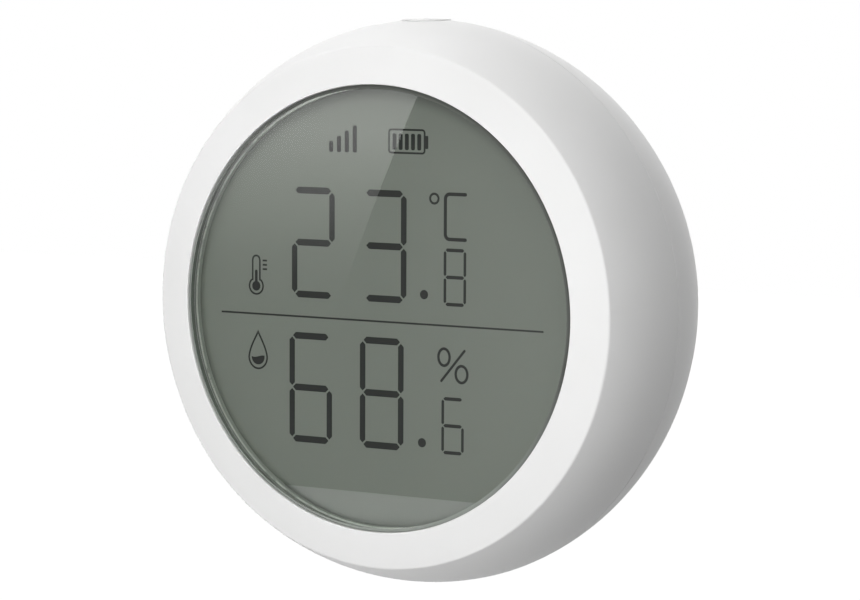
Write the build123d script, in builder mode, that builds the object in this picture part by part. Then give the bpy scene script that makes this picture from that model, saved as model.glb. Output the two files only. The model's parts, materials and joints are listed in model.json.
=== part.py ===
from build123d import *
import os
from math import hypot, sqrt

# Round temperature and humidity sensor with a display window, held on a wall by its flat back.
# The origin is the centre of the back. +Z is up and the display looks along -Y. Sizes are in
# millimetres. A place along Y is a depth: 0 at the wall, more negative towards the viewer.
# The two battery cells set the size of everything round them, and the shells follow.

# Battery cells: two of the thin pencil size, side by side, lying along X
cell_radius = 5.25
cell_length = 44.5           # with the positive cap
cell_cap_radius = 1.9
cell_cap_height = 1.0
cell_edge = 0.4              # rolled edge of the can
cell_gap = 0.7               # between the two cells
cell_clearance = 0.15        # under a cell
cell_to_cover = 1.11         # from a cell to the back cover

# Battery tray and its contacts
contact_room = 1.95          # for the contacts, at each end of the cells
contact_thickness = 0.3
contact_width = 8.0
contact_tip_gap = 0.05       # from a contact to its cell
contact_dimple_radius = 1.5
contact_dimple_tip = 0.9
contact_edge_gap = 0.5       # from a contact to the tray's floor and to its rim
leaf_width = 4.0
leaf_front_leg = 3.4         # from the cell's axis to the leaf's front end
leaf_rear_leg = 1.4
tab_width = 1.6
tray_wall = 1.2
tray_floor = 1.0
tray_side_clearance = 0.25
tray_rim_drop = 3.2          # from the back of the cells to the tray's rim
cradle_width = 1.6
cradle_height = 3.0
cradle_spacing = 24.0
ear_thickness = 1.5
rib_height = 2.4             # divider between the cells

# Back cover and its twist lock
bay_clearance = 0.165        # round the corners of the contacts
spigot_wall = 1.32
spigot_clearance = 0.08
lug_height = 0.68
lug_thickness = 1.0
lug_clearance = 0.15
lug_angle = 18.0             # degrees
lock_angle = 22.0            # degrees from locked to open
notch_play_angle = 1.0       # degrees on each side of a lug
stop_angle = 4.0             # degrees
stop_play_angle = 0.3        # degrees
lug_count = 3
flange_width = 0.8
flange_thickness = 1.4
cover_gap = 0.15             # parting gap between rear shell and cover
pad_radius = 19.0
pad_thickness = 0.8
pad_clearance = 0.15

# Shells
wall = 1.8
cover_depth = 3.4
back_round = 5.6             # from the neck in to the flat of the back
belly_swell = 2.8            # from the neck out to the widest place
front_taper = 3.0            # from the widest place in to the front ring
bezel_width = 4.35
bezel_rise = 1.03            # the ring's inner lip stands in front of its outer edge
seam_depth = 11.13           # from the ring's outer edge to the parting line
front_flank_bow = 0.69       # how far each stretch of the side bows out from its chord
rear_flank_bow = 0.6
cavity_bow = 0.4
cover_bow = 0.91
bezel_bow = 0.05
edge_round = 0.3
lip_round = 0.15
seam_bevel = 0.13
cavity_step = 1.6            # from the ring's outer edge in to the cavity behind it
lap_thickness = 0.9          # the front shell's part of the wall where the shells overlap
lap_length = 1.8
lap_clearance = 0.05
snap_size = 0.25
snap_setback = 0.9
snap_angle = 16.0            # degrees
snap_count = 4

# Air slots in the underside, and the dust filter inside them
vent_count = 7
vent_width = 1.3
vent_length = 5.4
vent_setback = 4.5           # from the parting line to the middle of the slots
vent_pitch_angle = 6.0       # degrees
filter_thickness = 0.3
filter_margin = 0.5

# Lens and display
lens_recess = 0.1
lens_thickness = 1.3
lens_clearance = 0.05
lens_bevel = 0.4
adhesive_thickness = 0.16
ledge_width = 0.4
ledge_thickness = 0.61
lcd_overlap = 0.65           # of the glass behind the window's edge
polariser_thickness = 0.2
glass_thickness = 0.55
reflector_thickness = 0.2
contact_ledge = 4.8          # height of the display's contact ledge, at its lower end
carrier_floor = 1.2
carrier_clearance = 0.3
carrier_skirt = 1.2
pocket_clearance = 0.1
connector_length = 20.0
connector_width = 2.0
connector_setback = 0.75     # from the edge of the rear glass
connector_clearance = 0.15

# Main board and what stands on it
board_gap = 2.1              # between the carrier's floor and the board
board_thickness = 1.0
board_margin = 0.1
boss_radius = 1.7
boss_gap = 0.2               # from a boss to the glass
notch_clearance = 0.2        # round a boss or a post
screw_radius = 0.85
screw_length = 4.0
screw_hole_clearance = 0.1
screw_head_radius = 1.5
screw_head_height = 1.0
screw_head_bevel = 0.25
board_screw_count = 3
board_screw_start = 30.0     # degrees
tray_screw_count = 2
tray_gap = 3.5               # between the board and the tray
chip_size = 10.0
chip_height = 1.2
chip_x = -13.0
chip_z = -3.0
module_width = 16.0
module_length = 24.0
module_thickness = 0.8
module_x = 10.0
module_z = -2.0
can_width = 13.5
can_length = 15.5
can_height = 2.2
can_wall = 0.2
can_shift = 3.0              # the can sits low, clear of the aerial
capacitor_radius = 2.0
capacitor_height = 3.0
capacitor_x = -13.0
capacitor_z = 9.0

# Button and its switch
button_depth = 11.0          # from the ring's outer edge to the button's axis
button_radius = 2.85
button_clearance = 0.15
button_proud = 0.02
button_crown = 0.1
button_flange_radius = 3.6
button_flange_thickness = 0.75
button_flange_gap = 0.3
button_edge = 0.12
stem_radius = 1.2
stem_length = 3.3
plunger_radius = 1.7
plunger_clearance = 0.08
plunger_proud = 0.9
plunger_length = 2.05
button_travel = 0.35
switch_width = 6.0
switch_height = 3.5
switch_bore_depth = 1.6
bracket_thickness = 0.3
bracket_height = 2.5

# Humidity and temperature sensor
sensor_board_width = 9.0
sensor_board_length = 11.0
sensor_board_thickness = 0.8
sensor_board_gap = 5.3       # from the shell's inside
sensor_size = 2.5
sensor_height = 0.9
sensor_port_radius = 0.5
sensor_port_depth = 0.3
sensor_edge = 0.4            # from the chip to the end of its board

# Radii that follow
bay_half_length = cell_length / 2 + contact_room
cell_offset = cell_radius + cell_gap / 2
contact_reach = cell_offset + contact_width / 2
spigot_inner_radius = hypot(bay_half_length, contact_reach) + bay_clearance
spigot_radius = spigot_inner_radius + spigot_wall
flange_radius = spigot_radius + spigot_clearance
neck_inner_radius = flange_radius + flange_width
neck_radius = neck_inner_radius + wall
belly_radius = neck_radius + belly_swell
belly_inner_radius = belly_radius - wall
bezel_radius = belly_radius - front_taper
window_radius = bezel_radius - bezel_width
back_flat_radius = neck_radius - back_round
cavity_radius = bezel_radius - cavity_step
lap_radius = belly_radius - lap_thickness
tongue_radius = lap_radius - lap_clearance
lens_radius = window_radius - lens_clearance
ledge_radius = window_radius - ledge_width
lcd_radius = window_radius + lcd_overlap
ledge_chord = lcd_radius - contact_ledge
carrier_radius = cavity_radius - carrier_clearance
boss_circle_radius = lcd_radius + boss_gap + boss_radius
board_radius = boss_circle_radius + boss_radius + board_margin
lug_radius = spigot_radius + lug_height

# Depths that follow, from the back of the lens to the wall
lcd_thickness = polariser_thickness + 2 * glass_thickness + reflector_thickness
display_setback = lens_recess + lens_thickness + adhesive_thickness + ledge_thickness - bezel_rise
board_setback = display_setback + lcd_thickness + carrier_floor + board_gap
tray_setback = board_setback + board_thickness + tray_gap
cell_setback = tray_setback + tray_floor + cell_clearance + cell_radius
body_depth = cell_setback + cell_radius + cell_to_cover + wall
y_edge = -body_depth
y_lip = y_edge - bezel_rise
y_lens_front = y_lip + lens_recess
y_lens_rear = y_lens_front + lens_thickness
y_ledge = y_lens_rear + adhesive_thickness
y_display = y_edge + display_setback
y_front_glass = y_display + polariser_thickness
y_rear_glass = y_front_glass + glass_thickness
y_reflector = y_rear_glass + glass_thickness
y_carrier_floor = y_reflector + reflector_thickness
y_board = y_edge + board_setback
y_board_rear = y_board + board_thickness
y_tray = y_edge + tray_setback
y_tray_floor = y_tray + tray_floor
y_cell = y_edge + cell_setback
y_tray_rim = y_cell + cell_radius - tray_rim_drop
y_seam = y_edge + seam_depth
y_lap = y_seam - lap_length
y_neck = -cover_depth
y_flange = y_neck - flange_thickness
y_lug_rear = y_flange - lug_clearance
y_lug = y_lug_rear - lug_thickness
y_cover_inside = -wall
y_button = y_edge + button_depth
y_vent = y_seam + vent_setback

# Heights that follow, for the button and its switch
z_flange_top = sqrt(belly_inner_radius**2 - button_flange_radius**2) - button_flange_gap
z_stem_top = z_flange_top - button_flange_thickness
z_plunger_top = z_stem_top - stem_length
z_switch_top = z_plunger_top - plunger_proud
z_switch = z_switch_top - switch_height
z_sensor_board = -(belly_inner_radius - sensor_board_gap)


def front_plane(depth):
    """Sketch plane that faces the viewer at a depth. An extrusion from it goes towards the viewer."""
    return Plane.XZ.offset(-depth)


def outward_arc(start, end, bow):
    """Arc from start to end, both (radius, depth) with the end further back, bowed out by a sagitta."""
    chord = hypot(end[0] - start[0], end[1] - start[1])
    out = ((end[1] - start[1]) / chord, (start[0] - end[0]) / chord)
    middle = ((start[0] + end[0]) / 2 + bow * out[0], (start[1] + end[1]) / 2 + bow * out[1])
    return ThreePointArc(start, middle, end)


def ring_profile(inner, outer, front, rear):
    """Closed outline of a ring's section, for a revolve about Y."""
    return Polyline((inner, front), (outer, front), (outer, rear), (inner, rear), close=True)


os.makedirs("parts", exist_ok=True)

# Front shell: front ring, ledge for the lens, side wall to the parting line, bosses and posts
with BuildPart() as front_shell:
    with BuildSketch(Plane.XY):
        with BuildLine():
            outward_arc((window_radius, y_lip), (bezel_radius, y_edge), bezel_bow)
            outward_arc((bezel_radius, y_edge), (belly_radius, y_seam), front_flank_bow)
            Polyline(
                (belly_radius, y_seam),
                (lap_radius, y_seam),
                (lap_radius, y_lap),
                (belly_inner_radius, y_lap),
            )
            outward_arc((cavity_radius, y_display), (belly_inner_radius, y_lap), cavity_bow)
            Polyline(
                (cavity_radius, y_display),
                (ledge_radius, y_display),
                (ledge_radius, y_ledge),
                (window_radius, y_ledge),
                (window_radius, y_lip),
            )
        make_face()
    revolve(axis=Axis.Y)
    rims = front_shell.edges().filter_by(GeomType.CIRCLE).sort_by(Axis.Y)
    fillet(rims[0], radius=lip_round)
    ring_edge = front_shell.edges().filter_by(GeomType.CIRCLE).sort_by(lambda e: abs(e.center().Y - y_edge))
    fillet(ring_edge[0], radius=edge_round)
    seam_edge = front_shell.edges().filter_by(GeomType.CIRCLE).group_by(Axis.Y)[-1].sort_by(SortBy.RADIUS)[-1]
    chamfer(seam_edge, length=seam_bevel)
    with BuildSketch(front_plane(y_board)):
        with PolarLocations(boss_circle_radius, board_screw_count, start_angle=board_screw_start):
            Circle(boss_radius)
    extrude(amount=y_board - y_display)
    with BuildSketch(front_plane(y_tray)):
        with PolarLocations(boss_circle_radius, tray_screw_count):
            Circle(boss_radius)
    extrude(amount=y_tray - y_display)
    with BuildSketch(front_plane(y_board)):
        with PolarLocations(boss_circle_radius, board_screw_count, start_angle=board_screw_start):
            Circle(screw_radius)
    extrude(amount=screw_length - board_thickness, mode=Mode.SUBTRACT)
    with BuildSketch(front_plane(y_tray)):
        with PolarLocations(boss_circle_radius, tray_screw_count):
            Circle(screw_radius)
    extrude(amount=screw_length - ear_thickness, mode=Mode.SUBTRACT)
    with BuildSketch(Plane.XY):
        with BuildLine():
            Polyline(
                (tongue_radius, y_seam - snap_setback - snap_size - lap_clearance),
                (lap_radius + snap_size, y_seam - snap_setback),
                (tongue_radius, y_seam - snap_setback + snap_size + lap_clearance),
                close=True,
            )
        make_face()
    snap_groove = revolve(axis=Axis.Y, mode=Mode.PRIVATE)
    add(snap_groove, mode=Mode.SUBTRACT)
    with BuildSketch(Plane.XY):
        with Locations((0, y_button)):
            Circle(button_radius + button_clearance)
    extrude(amount=belly_radius + wall, mode=Mode.SUBTRACT)
front_shell.part.label = "front_shell"
export_step(front_shell.part, "parts/front_shell.step")

# Lens: flat clear disc with a bevelled front edge
with BuildPart() as display_lens:
    with BuildSketch(front_plane(y_lens_rear)):
        Circle(lens_radius)
    extrude(amount=lens_thickness)
    chamfer(display_lens.edges().filter_by(GeomType.CIRCLE).sort_by(Axis.Y)[0], length=lens_bevel)
display_lens.part.label = "display_lens"
export_step(display_lens.part, "parts/display_lens.step")

# Adhesive ring between the lens and its ledge
with BuildPart() as lens_adhesive:
    with BuildSketch(front_plane(y_ledge)):
        Circle(lens_radius)
        Circle(ledge_radius, mode=Mode.SUBTRACT)
    extrude(amount=adhesive_thickness)
lens_adhesive.part.label = "lens_adhesive"
export_step(lens_adhesive.part, "parts/lens_adhesive.step")


def chord_disc(depth, thickness):
    """Disc of the display's radius, cut off straight above its contact ledge, with its front at a depth."""
    with BuildPart() as disc:
        with BuildSketch(front_plane(depth + thickness)):
            Circle(lcd_radius)
            with Locations((0, -ledge_chord)):
                Rectangle(2 * lcd_radius, lcd_radius, align=(Align.CENTER, Align.MAX), mode=Mode.SUBTRACT)
        extrude(amount=thickness)
    return disc.part


# Display cell: polariser, front glass with the contact ledge, rear glass and reflector
with BuildPart() as lcd_polariser:
    add(chord_disc(y_display, polariser_thickness))
lcd_polariser.part.label = "lcd_polariser"
export_step(lcd_polariser.part, "parts/lcd_polariser.step")

with BuildPart() as lcd_front_glass:
    with BuildSketch(front_plane(y_rear_glass)):
        Circle(lcd_radius)
    extrude(amount=glass_thickness)
lcd_front_glass.part.label = "lcd_front_glass"
export_step(lcd_front_glass.part, "parts/lcd_front_glass.step")

with BuildPart() as lcd_rear_glass:
    add(chord_disc(y_rear_glass, glass_thickness))
lcd_rear_glass.part.label = "lcd_rear_glass"
export_step(lcd_rear_glass.part, "parts/lcd_rear_glass.step")

with BuildPart() as lcd_reflector:
    add(chord_disc(y_reflector, reflector_thickness))
lcd_reflector.part.label = "lcd_reflector"
export_step(lcd_reflector.part, "parts/lcd_reflector.step")

# Carrier: white frame that holds the display against the front shell and stands on the board
connector_z = -(ledge_chord + connector_setback + connector_width / 2)
with BuildPart() as lcd_carrier:
    with BuildSketch(front_plane(y_board)):
        Circle(carrier_radius)
    extrude(amount=y_board - y_display)
    with BuildSketch(front_plane(y_carrier_floor)):
        Circle(lcd_radius + pocket_clearance)
    extrude(amount=y_carrier_floor - y_display, mode=Mode.SUBTRACT)
    with BuildSketch(front_plane(y_board)):
        Circle(carrier_radius - carrier_skirt)
    extrude(amount=board_gap, mode=Mode.SUBTRACT)
    with BuildSketch(front_plane(y_board)):
        with Locations((0, connector_z)):
            Rectangle(connector_length + 2 * connector_clearance, connector_width + 2 * connector_clearance)
        with PolarLocations(boss_circle_radius, board_screw_count, start_angle=board_screw_start):
            Circle(boss_radius + notch_clearance)
        with PolarLocations(boss_circle_radius, tray_screw_count):
            Circle(boss_radius + notch_clearance)
    extrude(amount=y_board - y_display, mode=Mode.SUBTRACT)
lcd_carrier.part.label = "lcd_carrier"
export_step(lcd_carrier.part, "parts/lcd_carrier.step")

# Elastomer strip that joins the display's contact ledge to the board
with BuildPart() as elastomer_connector:
    with BuildSketch(front_plane(y_board)):
        with Locations((0, connector_z)):
            Rectangle(connector_length, connector_width)
    extrude(amount=y_board - y_rear_glass)
elastomer_connector.part.label = "elastomer_connector"
export_step(elastomer_connector.part, "parts/elastomer_connector.step")

# Contact tabs pass the tray's floor and the board at these places
tab_x = bay_half_length - contact_thickness / 2
tab_places = [(tab_x, cell_offset), (tab_x, -cell_offset)]

with BuildPart() as main_board:
    with BuildSketch(front_plane(y_board_rear)):
        Circle(board_radius)
        with PolarLocations(boss_circle_radius, board_screw_count, start_angle=board_screw_start):
            Circle(screw_radius + screw_hole_clearance, mode=Mode.SUBTRACT)
        with PolarLocations(boss_circle_radius, tray_screw_count):
            Circle(boss_radius + notch_clearance, mode=Mode.SUBTRACT)
        with Locations(*tab_places):
            Rectangle(
                contact_thickness + 2 * screw_hole_clearance,
                tab_width + 2 * screw_hole_clearance,
                mode=Mode.SUBTRACT,
            )
    extrude(amount=board_thickness)
main_board.part.label = "main_board"
export_step(main_board.part, "parts/main_board.step")

with BuildPart() as display_driver_chip:
    with BuildSketch(front_plane(y_board_rear + chip_height)):
        with Locations((chip_x, chip_z)):
            Rectangle(chip_size, chip_size)
    extrude(amount=chip_height)
display_driver_chip.part.label = "display_driver_chip"
export_step(display_driver_chip.part, "parts/display_driver_chip.step")

with BuildPart() as radio_module:
    with BuildSketch(front_plane(y_board_rear + module_thickness)):
        with Locations((module_x, module_z)):
            Rectangle(module_width, module_length)
    extrude(amount=module_thickness)
radio_module.part.label = "radio_module"
export_step(radio_module.part, "parts/radio_module.step")

with BuildPart() as radio_shield_can:
    with BuildSketch(front_plane(y_board_rear + module_thickness + can_height)):
        with Locations((module_x, module_z - can_shift)):
            Rectangle(can_width, can_length)
    extrude(amount=can_height)
    can_mouth = radio_shield_can.faces().sort_by(Axis.Y)[0]
    offset(amount=-can_wall, openings=can_mouth)
radio_shield_can.part.label = "radio_shield_can"
export_step(radio_shield_can.part, "parts/radio_shield_can.step")

with BuildPart() as supply_capacitor:
    with BuildSketch(front_plane(y_board_rear + capacitor_height)):
        with Locations((capacitor_x, capacitor_z)):
            Circle(capacitor_radius)
    extrude(amount=capacitor_height)
supply_capacitor.part.label = "supply_capacitor"
export_step(supply_capacitor.part, "parts/supply_capacitor.step")


def screws(count, start_angle, head_depth):
    """Round-headed screws on the boss circle, with the seat of their heads at a depth."""
    with BuildPart() as group:
        with BuildSketch(front_plane(head_depth + screw_head_height)):
            with PolarLocations(boss_circle_radius, count, start_angle=start_angle):
                Circle(screw_head_radius)
        extrude(amount=screw_head_height)
        chamfer(group.faces().group_by(Axis.Y)[-1].edges(), length=screw_head_bevel)
        with BuildSketch(front_plane(head_depth)):
            with PolarLocations(boss_circle_radius, count, start_angle=start_angle):
                Circle(screw_radius)
        extrude(amount=screw_length)
    return group.part


with BuildPart() as board_screws:
    add(screws(board_screw_count, board_screw_start, y_board_rear))
board_screws.part.label = "board_screws"
export_step(board_screws.part, "parts/board_screws.step")

with BuildPart() as tray_screws:
    add(screws(tray_screw_count, 0, y_tray + ear_thickness))
tray_screws.part.label = "tray_screws"
export_step(tray_screws.part, "parts/tray_screws.step")

# Push switch that stands on the board, its plunger upwards under the button
with BuildPart() as switch_housing:
    with BuildSketch(Plane.XY.offset(z_switch)):
        with Locations((0, y_button)):
            Rectangle(switch_width, switch_width)
    extrude(amount=switch_height)
    with BuildSketch(Plane.XY.offset(z_switch_top)):
        with Locations((0, y_button)):
            Circle(plunger_radius + plunger_clearance)
    extrude(amount=-switch_bore_depth, mode=Mode.SUBTRACT)
switch_housing.part.label = "switch_housing"
export_step(switch_housing.part, "parts/switch_housing.step")

bracket_rear = y_button + switch_width / 2 + bracket_thickness
with BuildPart() as switch_bracket:
    with BuildSketch(Plane.XY.offset(z_switch)):
        with Locations((0, y_board_rear)):
            Rectangle(
                switch_width + 2 * bracket_thickness,
                bracket_rear - y_board_rear,
                align=(Align.CENTER, Align.MIN),
            )
            Rectangle(
                switch_width,
                bracket_rear - y_board_rear - bracket_thickness,
                align=(Align.CENTER, Align.MIN),
                mode=Mode.SUBTRACT,
            )
    extrude(amount=bracket_height)
switch_bracket.part.label = "switch_bracket"
export_step(switch_bracket.part, "parts/switch_bracket.step")

with BuildPart() as switch_plunger:
    with BuildSketch(Plane.XY.offset(z_plunger_top)):
        with Locations((0, y_button)):
            Circle(plunger_radius)
    extrude(amount=-plunger_length)
switch_plunger.part.label = "switch_plunger"
export_step(switch_plunger.part, "parts/switch_plunger.step")

# Top button: crowned cap, flange that keeps it in, and stem down to the switch
z_cap_edge = belly_radius + button_proud
with BuildPart() as top_button:
    with BuildSketch(front_plane(y_button)):
        with BuildLine():
            Polyline(
                (0, z_cap_edge + button_crown),
                (0, z_plunger_top),
                (stem_radius, z_plunger_top),
                (stem_radius, z_stem_top),
                (button_flange_radius, z_stem_top),
                (button_flange_radius, z_flange_top),
                (button_radius, z_flange_top),
                (button_radius, z_cap_edge - button_edge),
                (button_radius - button_edge, z_cap_edge),
            )
            RadiusArc(
                (button_radius - button_edge, z_cap_edge),
                (0, z_cap_edge + button_crown),
                -((button_radius - button_edge) ** 2 + button_crown**2) / (2 * button_crown),
            )
        make_face()
    revolve(axis=Axis((0, y_button, 0), (0, 0, 1)))
top_button.part.label = "top_button"
export_step(top_button.part, "parts/top_button.step")

# Sensor on a small board of its own that stands above the air slots
with BuildPart() as sensor_board:
    with BuildSketch(Plane.XY.offset(z_sensor_board)):
        with Locations((0, y_board_rear)):
            Rectangle(sensor_board_width, sensor_board_length, align=(Align.CENTER, Align.MIN))
    extrude(amount=sensor_board_thickness)
sensor_board.part.label = "sensor_board"
export_step(sensor_board.part, "parts/sensor_board.step")

sensor_place = (0, y_board_rear + sensor_board_length - sensor_edge - sensor_size / 2)
with BuildPart() as humidity_sensor:
    with BuildSketch(Plane.XY.offset(z_sensor_board)):
        with Locations(sensor_place):
            Rectangle(sensor_size, sensor_size)
    extrude(amount=-sensor_height)
    with BuildSketch(Plane.XY.offset(z_sensor_board - sensor_height)):
        with Locations(sensor_place):
            Circle(sensor_port_radius)
    extrude(amount=sensor_port_depth, mode=Mode.SUBTRACT)
humidity_sensor.part.label = "humidity_sensor"
export_step(humidity_sensor.part, "parts/humidity_sensor.step")

# Battery tray: open box with cradles, a divider, ears for its screws and slots for the contact tabs
tray_half_height = cell_offset + cell_radius + tray_side_clearance
with BuildPart() as battery_tray:
    with BuildSketch(front_plane(y_tray_rim)):
        Rectangle(2 * (bay_half_length + tray_wall), 2 * (tray_half_height + tray_wall))
    extrude(amount=y_tray_rim - y_tray)
    with BuildSketch(front_plane(y_tray_rim)):
        Rectangle(2 * bay_half_length, 2 * tray_half_height)
    extrude(amount=y_tray_rim - y_tray_floor, mode=Mode.SUBTRACT)
    with BuildSketch(front_plane(y_tray_floor + cradle_height)):
        with GridLocations(cradle_spacing, 0, 2, 1):
            Rectangle(cradle_width, 2 * tray_half_height)
    extrude(amount=cradle_height)
    with BuildSketch(front_plane(y_tray_floor + rib_height)):
        Rectangle(cell_length, cell_gap)
    extrude(amount=rib_height)
    with BuildSketch(Plane.YZ):
        with Locations((y_cell, cell_offset), (y_cell, -cell_offset)):
            Circle(cell_radius + cell_clearance)
    extrude(amount=bay_half_length, both=True, mode=Mode.SUBTRACT)
    with BuildSketch(front_plane(y_tray + ear_thickness)):
        with PolarLocations(boss_circle_radius, tray_screw_count):
            Circle(boss_radius)
            Rectangle(
                boss_circle_radius - bay_half_length,
                2 * boss_radius,
                align=(Align.MAX, Align.CENTER),
            )
    extrude(amount=ear_thickness)
    with BuildSketch(front_plane(y_tray + ear_thickness)):
        with PolarLocations(boss_circle_radius, tray_screw_count):
            Circle(screw_radius + screw_hole_clearance)
        with Locations(*tab_places):
            Rectangle(contact_thickness + 2 * screw_hole_clearance, tab_width + 2 * screw_hole_clearance)
    extrude(amount=ear_thickness, mode=Mode.SUBTRACT)
battery_tray.part.label = "battery_tray"
export_step(battery_tray.part, "parts/battery_tray.step")


def cell():
    """Battery cell along X with its positive cap towards +X, centred on X."""
    can_length_x = cell_length - cell_cap_height
    with BuildPart() as body:
        with BuildSketch(Plane.YZ.offset(-cell_length / 2)):
            Circle(cell_radius)
        extrude(amount=can_length_x)
        chamfer(body.edges().filter_by(GeomType.CIRCLE), length=cell_edge)
        with BuildSketch(Plane.YZ.offset(cell_length / 2 - cell_cap_height)):
            Circle(cell_cap_radius)
        extrude(amount=cell_cap_height)
    return body.part


with BuildPart() as battery_cell_upper:
    with Locations((0, y_cell, cell_offset)):
        add(cell())
battery_cell_upper.part.label = "battery_cell_upper"
export_step(battery_cell_upper.part, "parts/battery_cell_upper.step")

with BuildPart() as battery_cell_lower:
    with Locations(Location((0, y_cell, -cell_offset), (0, 0, 180))):
        add(cell())
battery_cell_lower.part.label = "battery_cell_lower"
export_step(battery_cell_lower.part, "parts/battery_cell_lower.step")

# Contacts stand against the tray's end walls. A dimple meets a positive cap, a bent leaf a can's base.
contact_front = y_tray_floor + contact_edge_gap
contact_rear = y_tray_rim - contact_edge_gap
contact_face_x = bay_half_length - contact_thickness
contact_tip_x = cell_length / 2 + contact_tip_gap


def contact_plate(centre_z, height_z):
    """Plate against the +X end wall, as tall along Z as given."""
    with BuildPart() as plate:
        with BuildSketch(Plane.YZ.offset(contact_face_x)):
            with Locations(((contact_front + contact_rear) / 2, centre_z)):
                Rectangle(contact_rear - contact_front, height_z)
        extrude(amount=contact_thickness)
    return plate.part


def contact_dimple(centre_z):
    """Pressed dimple that meets a cell's cap."""
    with BuildPart() as dimple:
        with BuildSketch(Plane.YZ.offset(contact_face_x)):
            with Locations((y_cell, centre_z)):
                Circle(contact_dimple_radius)
        with BuildSketch(Plane.YZ.offset(contact_tip_x)):
            with Locations((y_cell, centre_z)):
                Circle(contact_dimple_tip)
        loft()
    return dimple.part


def contact_leaf(centre_z):
    """Bent leaf that presses on a cell's base."""
    with BuildPart() as leaf:
        with BuildSketch(Plane.XY.offset(centre_z - leaf_width / 2)):
            with BuildLine():
                Polyline(
                    (contact_face_x, y_cell - leaf_front_leg),
                    (contact_tip_x, y_cell),
                    (contact_face_x, y_cell + leaf_rear_leg),
                    (contact_face_x, y_cell + leaf_rear_leg - contact_thickness),
                    (contact_tip_x + contact_thickness, y_cell),
                    (contact_face_x, y_cell - leaf_front_leg + contact_thickness),
                    close=True,
                )
            make_face()
        extrude(amount=leaf_width)
    return leaf.part


def contact_tab(centre_z):
    """Tab that runs from a plate through the tray's floor into the board."""
    with BuildPart() as tab:
        with BuildSketch(Plane.YZ.offset(contact_face_x)):
            with Locations((y_board, centre_z)):
                Rectangle(contact_rear - y_board, tab_width, align=(Align.MIN, Align.CENTER))
        extrude(amount=contact_thickness)
    return tab.part


with BuildPart() as contact_positive:
    add(contact_plate(cell_offset, contact_width))
    add(contact_dimple(cell_offset))
    add(contact_tab(cell_offset))
contact_positive.part.label = "contact_positive"
export_step(contact_positive.part, "parts/contact_positive.step")

with BuildPart() as contact_negative:
    add(contact_plate(-cell_offset, contact_width))
    add(contact_leaf(-cell_offset))
    add(contact_tab(-cell_offset))
contact_negative.part.label = "contact_negative"
export_step(contact_negative.part, "parts/contact_negative.step")

with BuildPart() as contact_link:
    add(mirror(contact_plate(0, 2 * contact_reach), about=Plane.YZ, mode=Mode.PRIVATE))
    add(mirror(contact_dimple(-cell_offset), about=Plane.YZ, mode=Mode.PRIVATE))
    add(mirror(contact_leaf(cell_offset), about=Plane.YZ, mode=Mode.PRIVATE))
contact_link.part.label = "contact_link"
export_step(contact_link.part, "parts/contact_link.step")

# Rear shell: side wall from the parting line to the neck, tongue, twist-lock flange and air slots
notch_angle = lug_angle + 2 * notch_play_angle
with BuildPart() as rear_shell:
    with BuildSketch(Plane.XY):
        with BuildLine():
            outward_arc((belly_radius, y_seam), (neck_radius, y_neck), rear_flank_bow)
            Line((neck_radius, y_neck), (neck_inner_radius, y_neck))
            outward_arc((belly_inner_radius, y_seam), (neck_inner_radius, y_neck), rear_flank_bow)
            Line((belly_inner_radius, y_seam), (belly_radius, y_seam))
        make_face()
        with BuildLine():
            ring_profile(belly_inner_radius, tongue_radius, y_lap + lap_clearance, y_seam + lap_length)
        make_face()
        with BuildLine():
            ring_profile(flange_radius, neck_inner_radius + wall / 2, y_flange, y_neck)
        make_face()
    revolve(axis=Axis.Y)
    seam_edge = rear_shell.edges().filter_by(GeomType.CIRCLE).sort_by(SortBy.RADIUS)[-1]
    chamfer(seam_edge, length=seam_bevel)
    for turn in range(lug_count):
        notch_start = turn * 360 / lug_count - lock_angle - notch_angle / 2
        with BuildSketch(Plane.XY.rotated((0, notch_start, 0))):
            with BuildLine():
                ring_profile(flange_radius - flange_width, neck_inner_radius, y_flange - wall, y_neck + wall)
            make_face()
        revolve(axis=Axis.Y, revolution_arc=notch_angle, mode=Mode.SUBTRACT)
        lock_stop = turn * 360 / lug_count + lug_angle / 2 + stop_play_angle
        open_stop = turn * 360 / lug_count - lug_angle / 2 - stop_play_angle - lock_angle - stop_angle
        for stop_start in (lock_stop, open_stop):
            with BuildSketch(Plane.XY.rotated((0, stop_start, 0))):
                with BuildLine():
                    ring_profile(flange_radius, neck_inner_radius + wall / 2, y_lug, y_flange)
                make_face()
            revolve(axis=Axis.Y, revolution_arc=stop_angle)
    for turn in range(snap_count):
        with BuildSketch(Plane.XY.rotated((0, (turn + 0.5) * 360 / snap_count - snap_angle / 2, 0))):
            with BuildLine():
                Polyline(
                    (tongue_radius, y_seam - snap_setback - snap_size),
                    (tongue_radius + snap_size, y_seam - snap_setback),
                    (tongue_radius, y_seam - snap_setback + snap_size),
                    close=True,
                )
            make_face()
        revolve(axis=Axis.Y, revolution_arc=snap_angle)
    for slot in range(vent_count):
        slot_angle = (slot - (vent_count - 1) / 2) * vent_pitch_angle
        with BuildSketch(Plane.XY.rotated((0, slot_angle, 0))):
            with Locations((0, y_vent)):
                SlotOverall(vent_length, vent_width, rotation=90)
        extrude(amount=-belly_radius - wall, mode=Mode.SUBTRACT)
    with BuildSketch(Plane.XY):
        with Locations((0, y_button)):
            Circle(button_radius + button_clearance)
    extrude(amount=belly_radius + wall, mode=Mode.SUBTRACT)
rear_shell.part.label = "rear_shell"
export_step(rear_shell.part, "parts/rear_shell.step")

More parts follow.
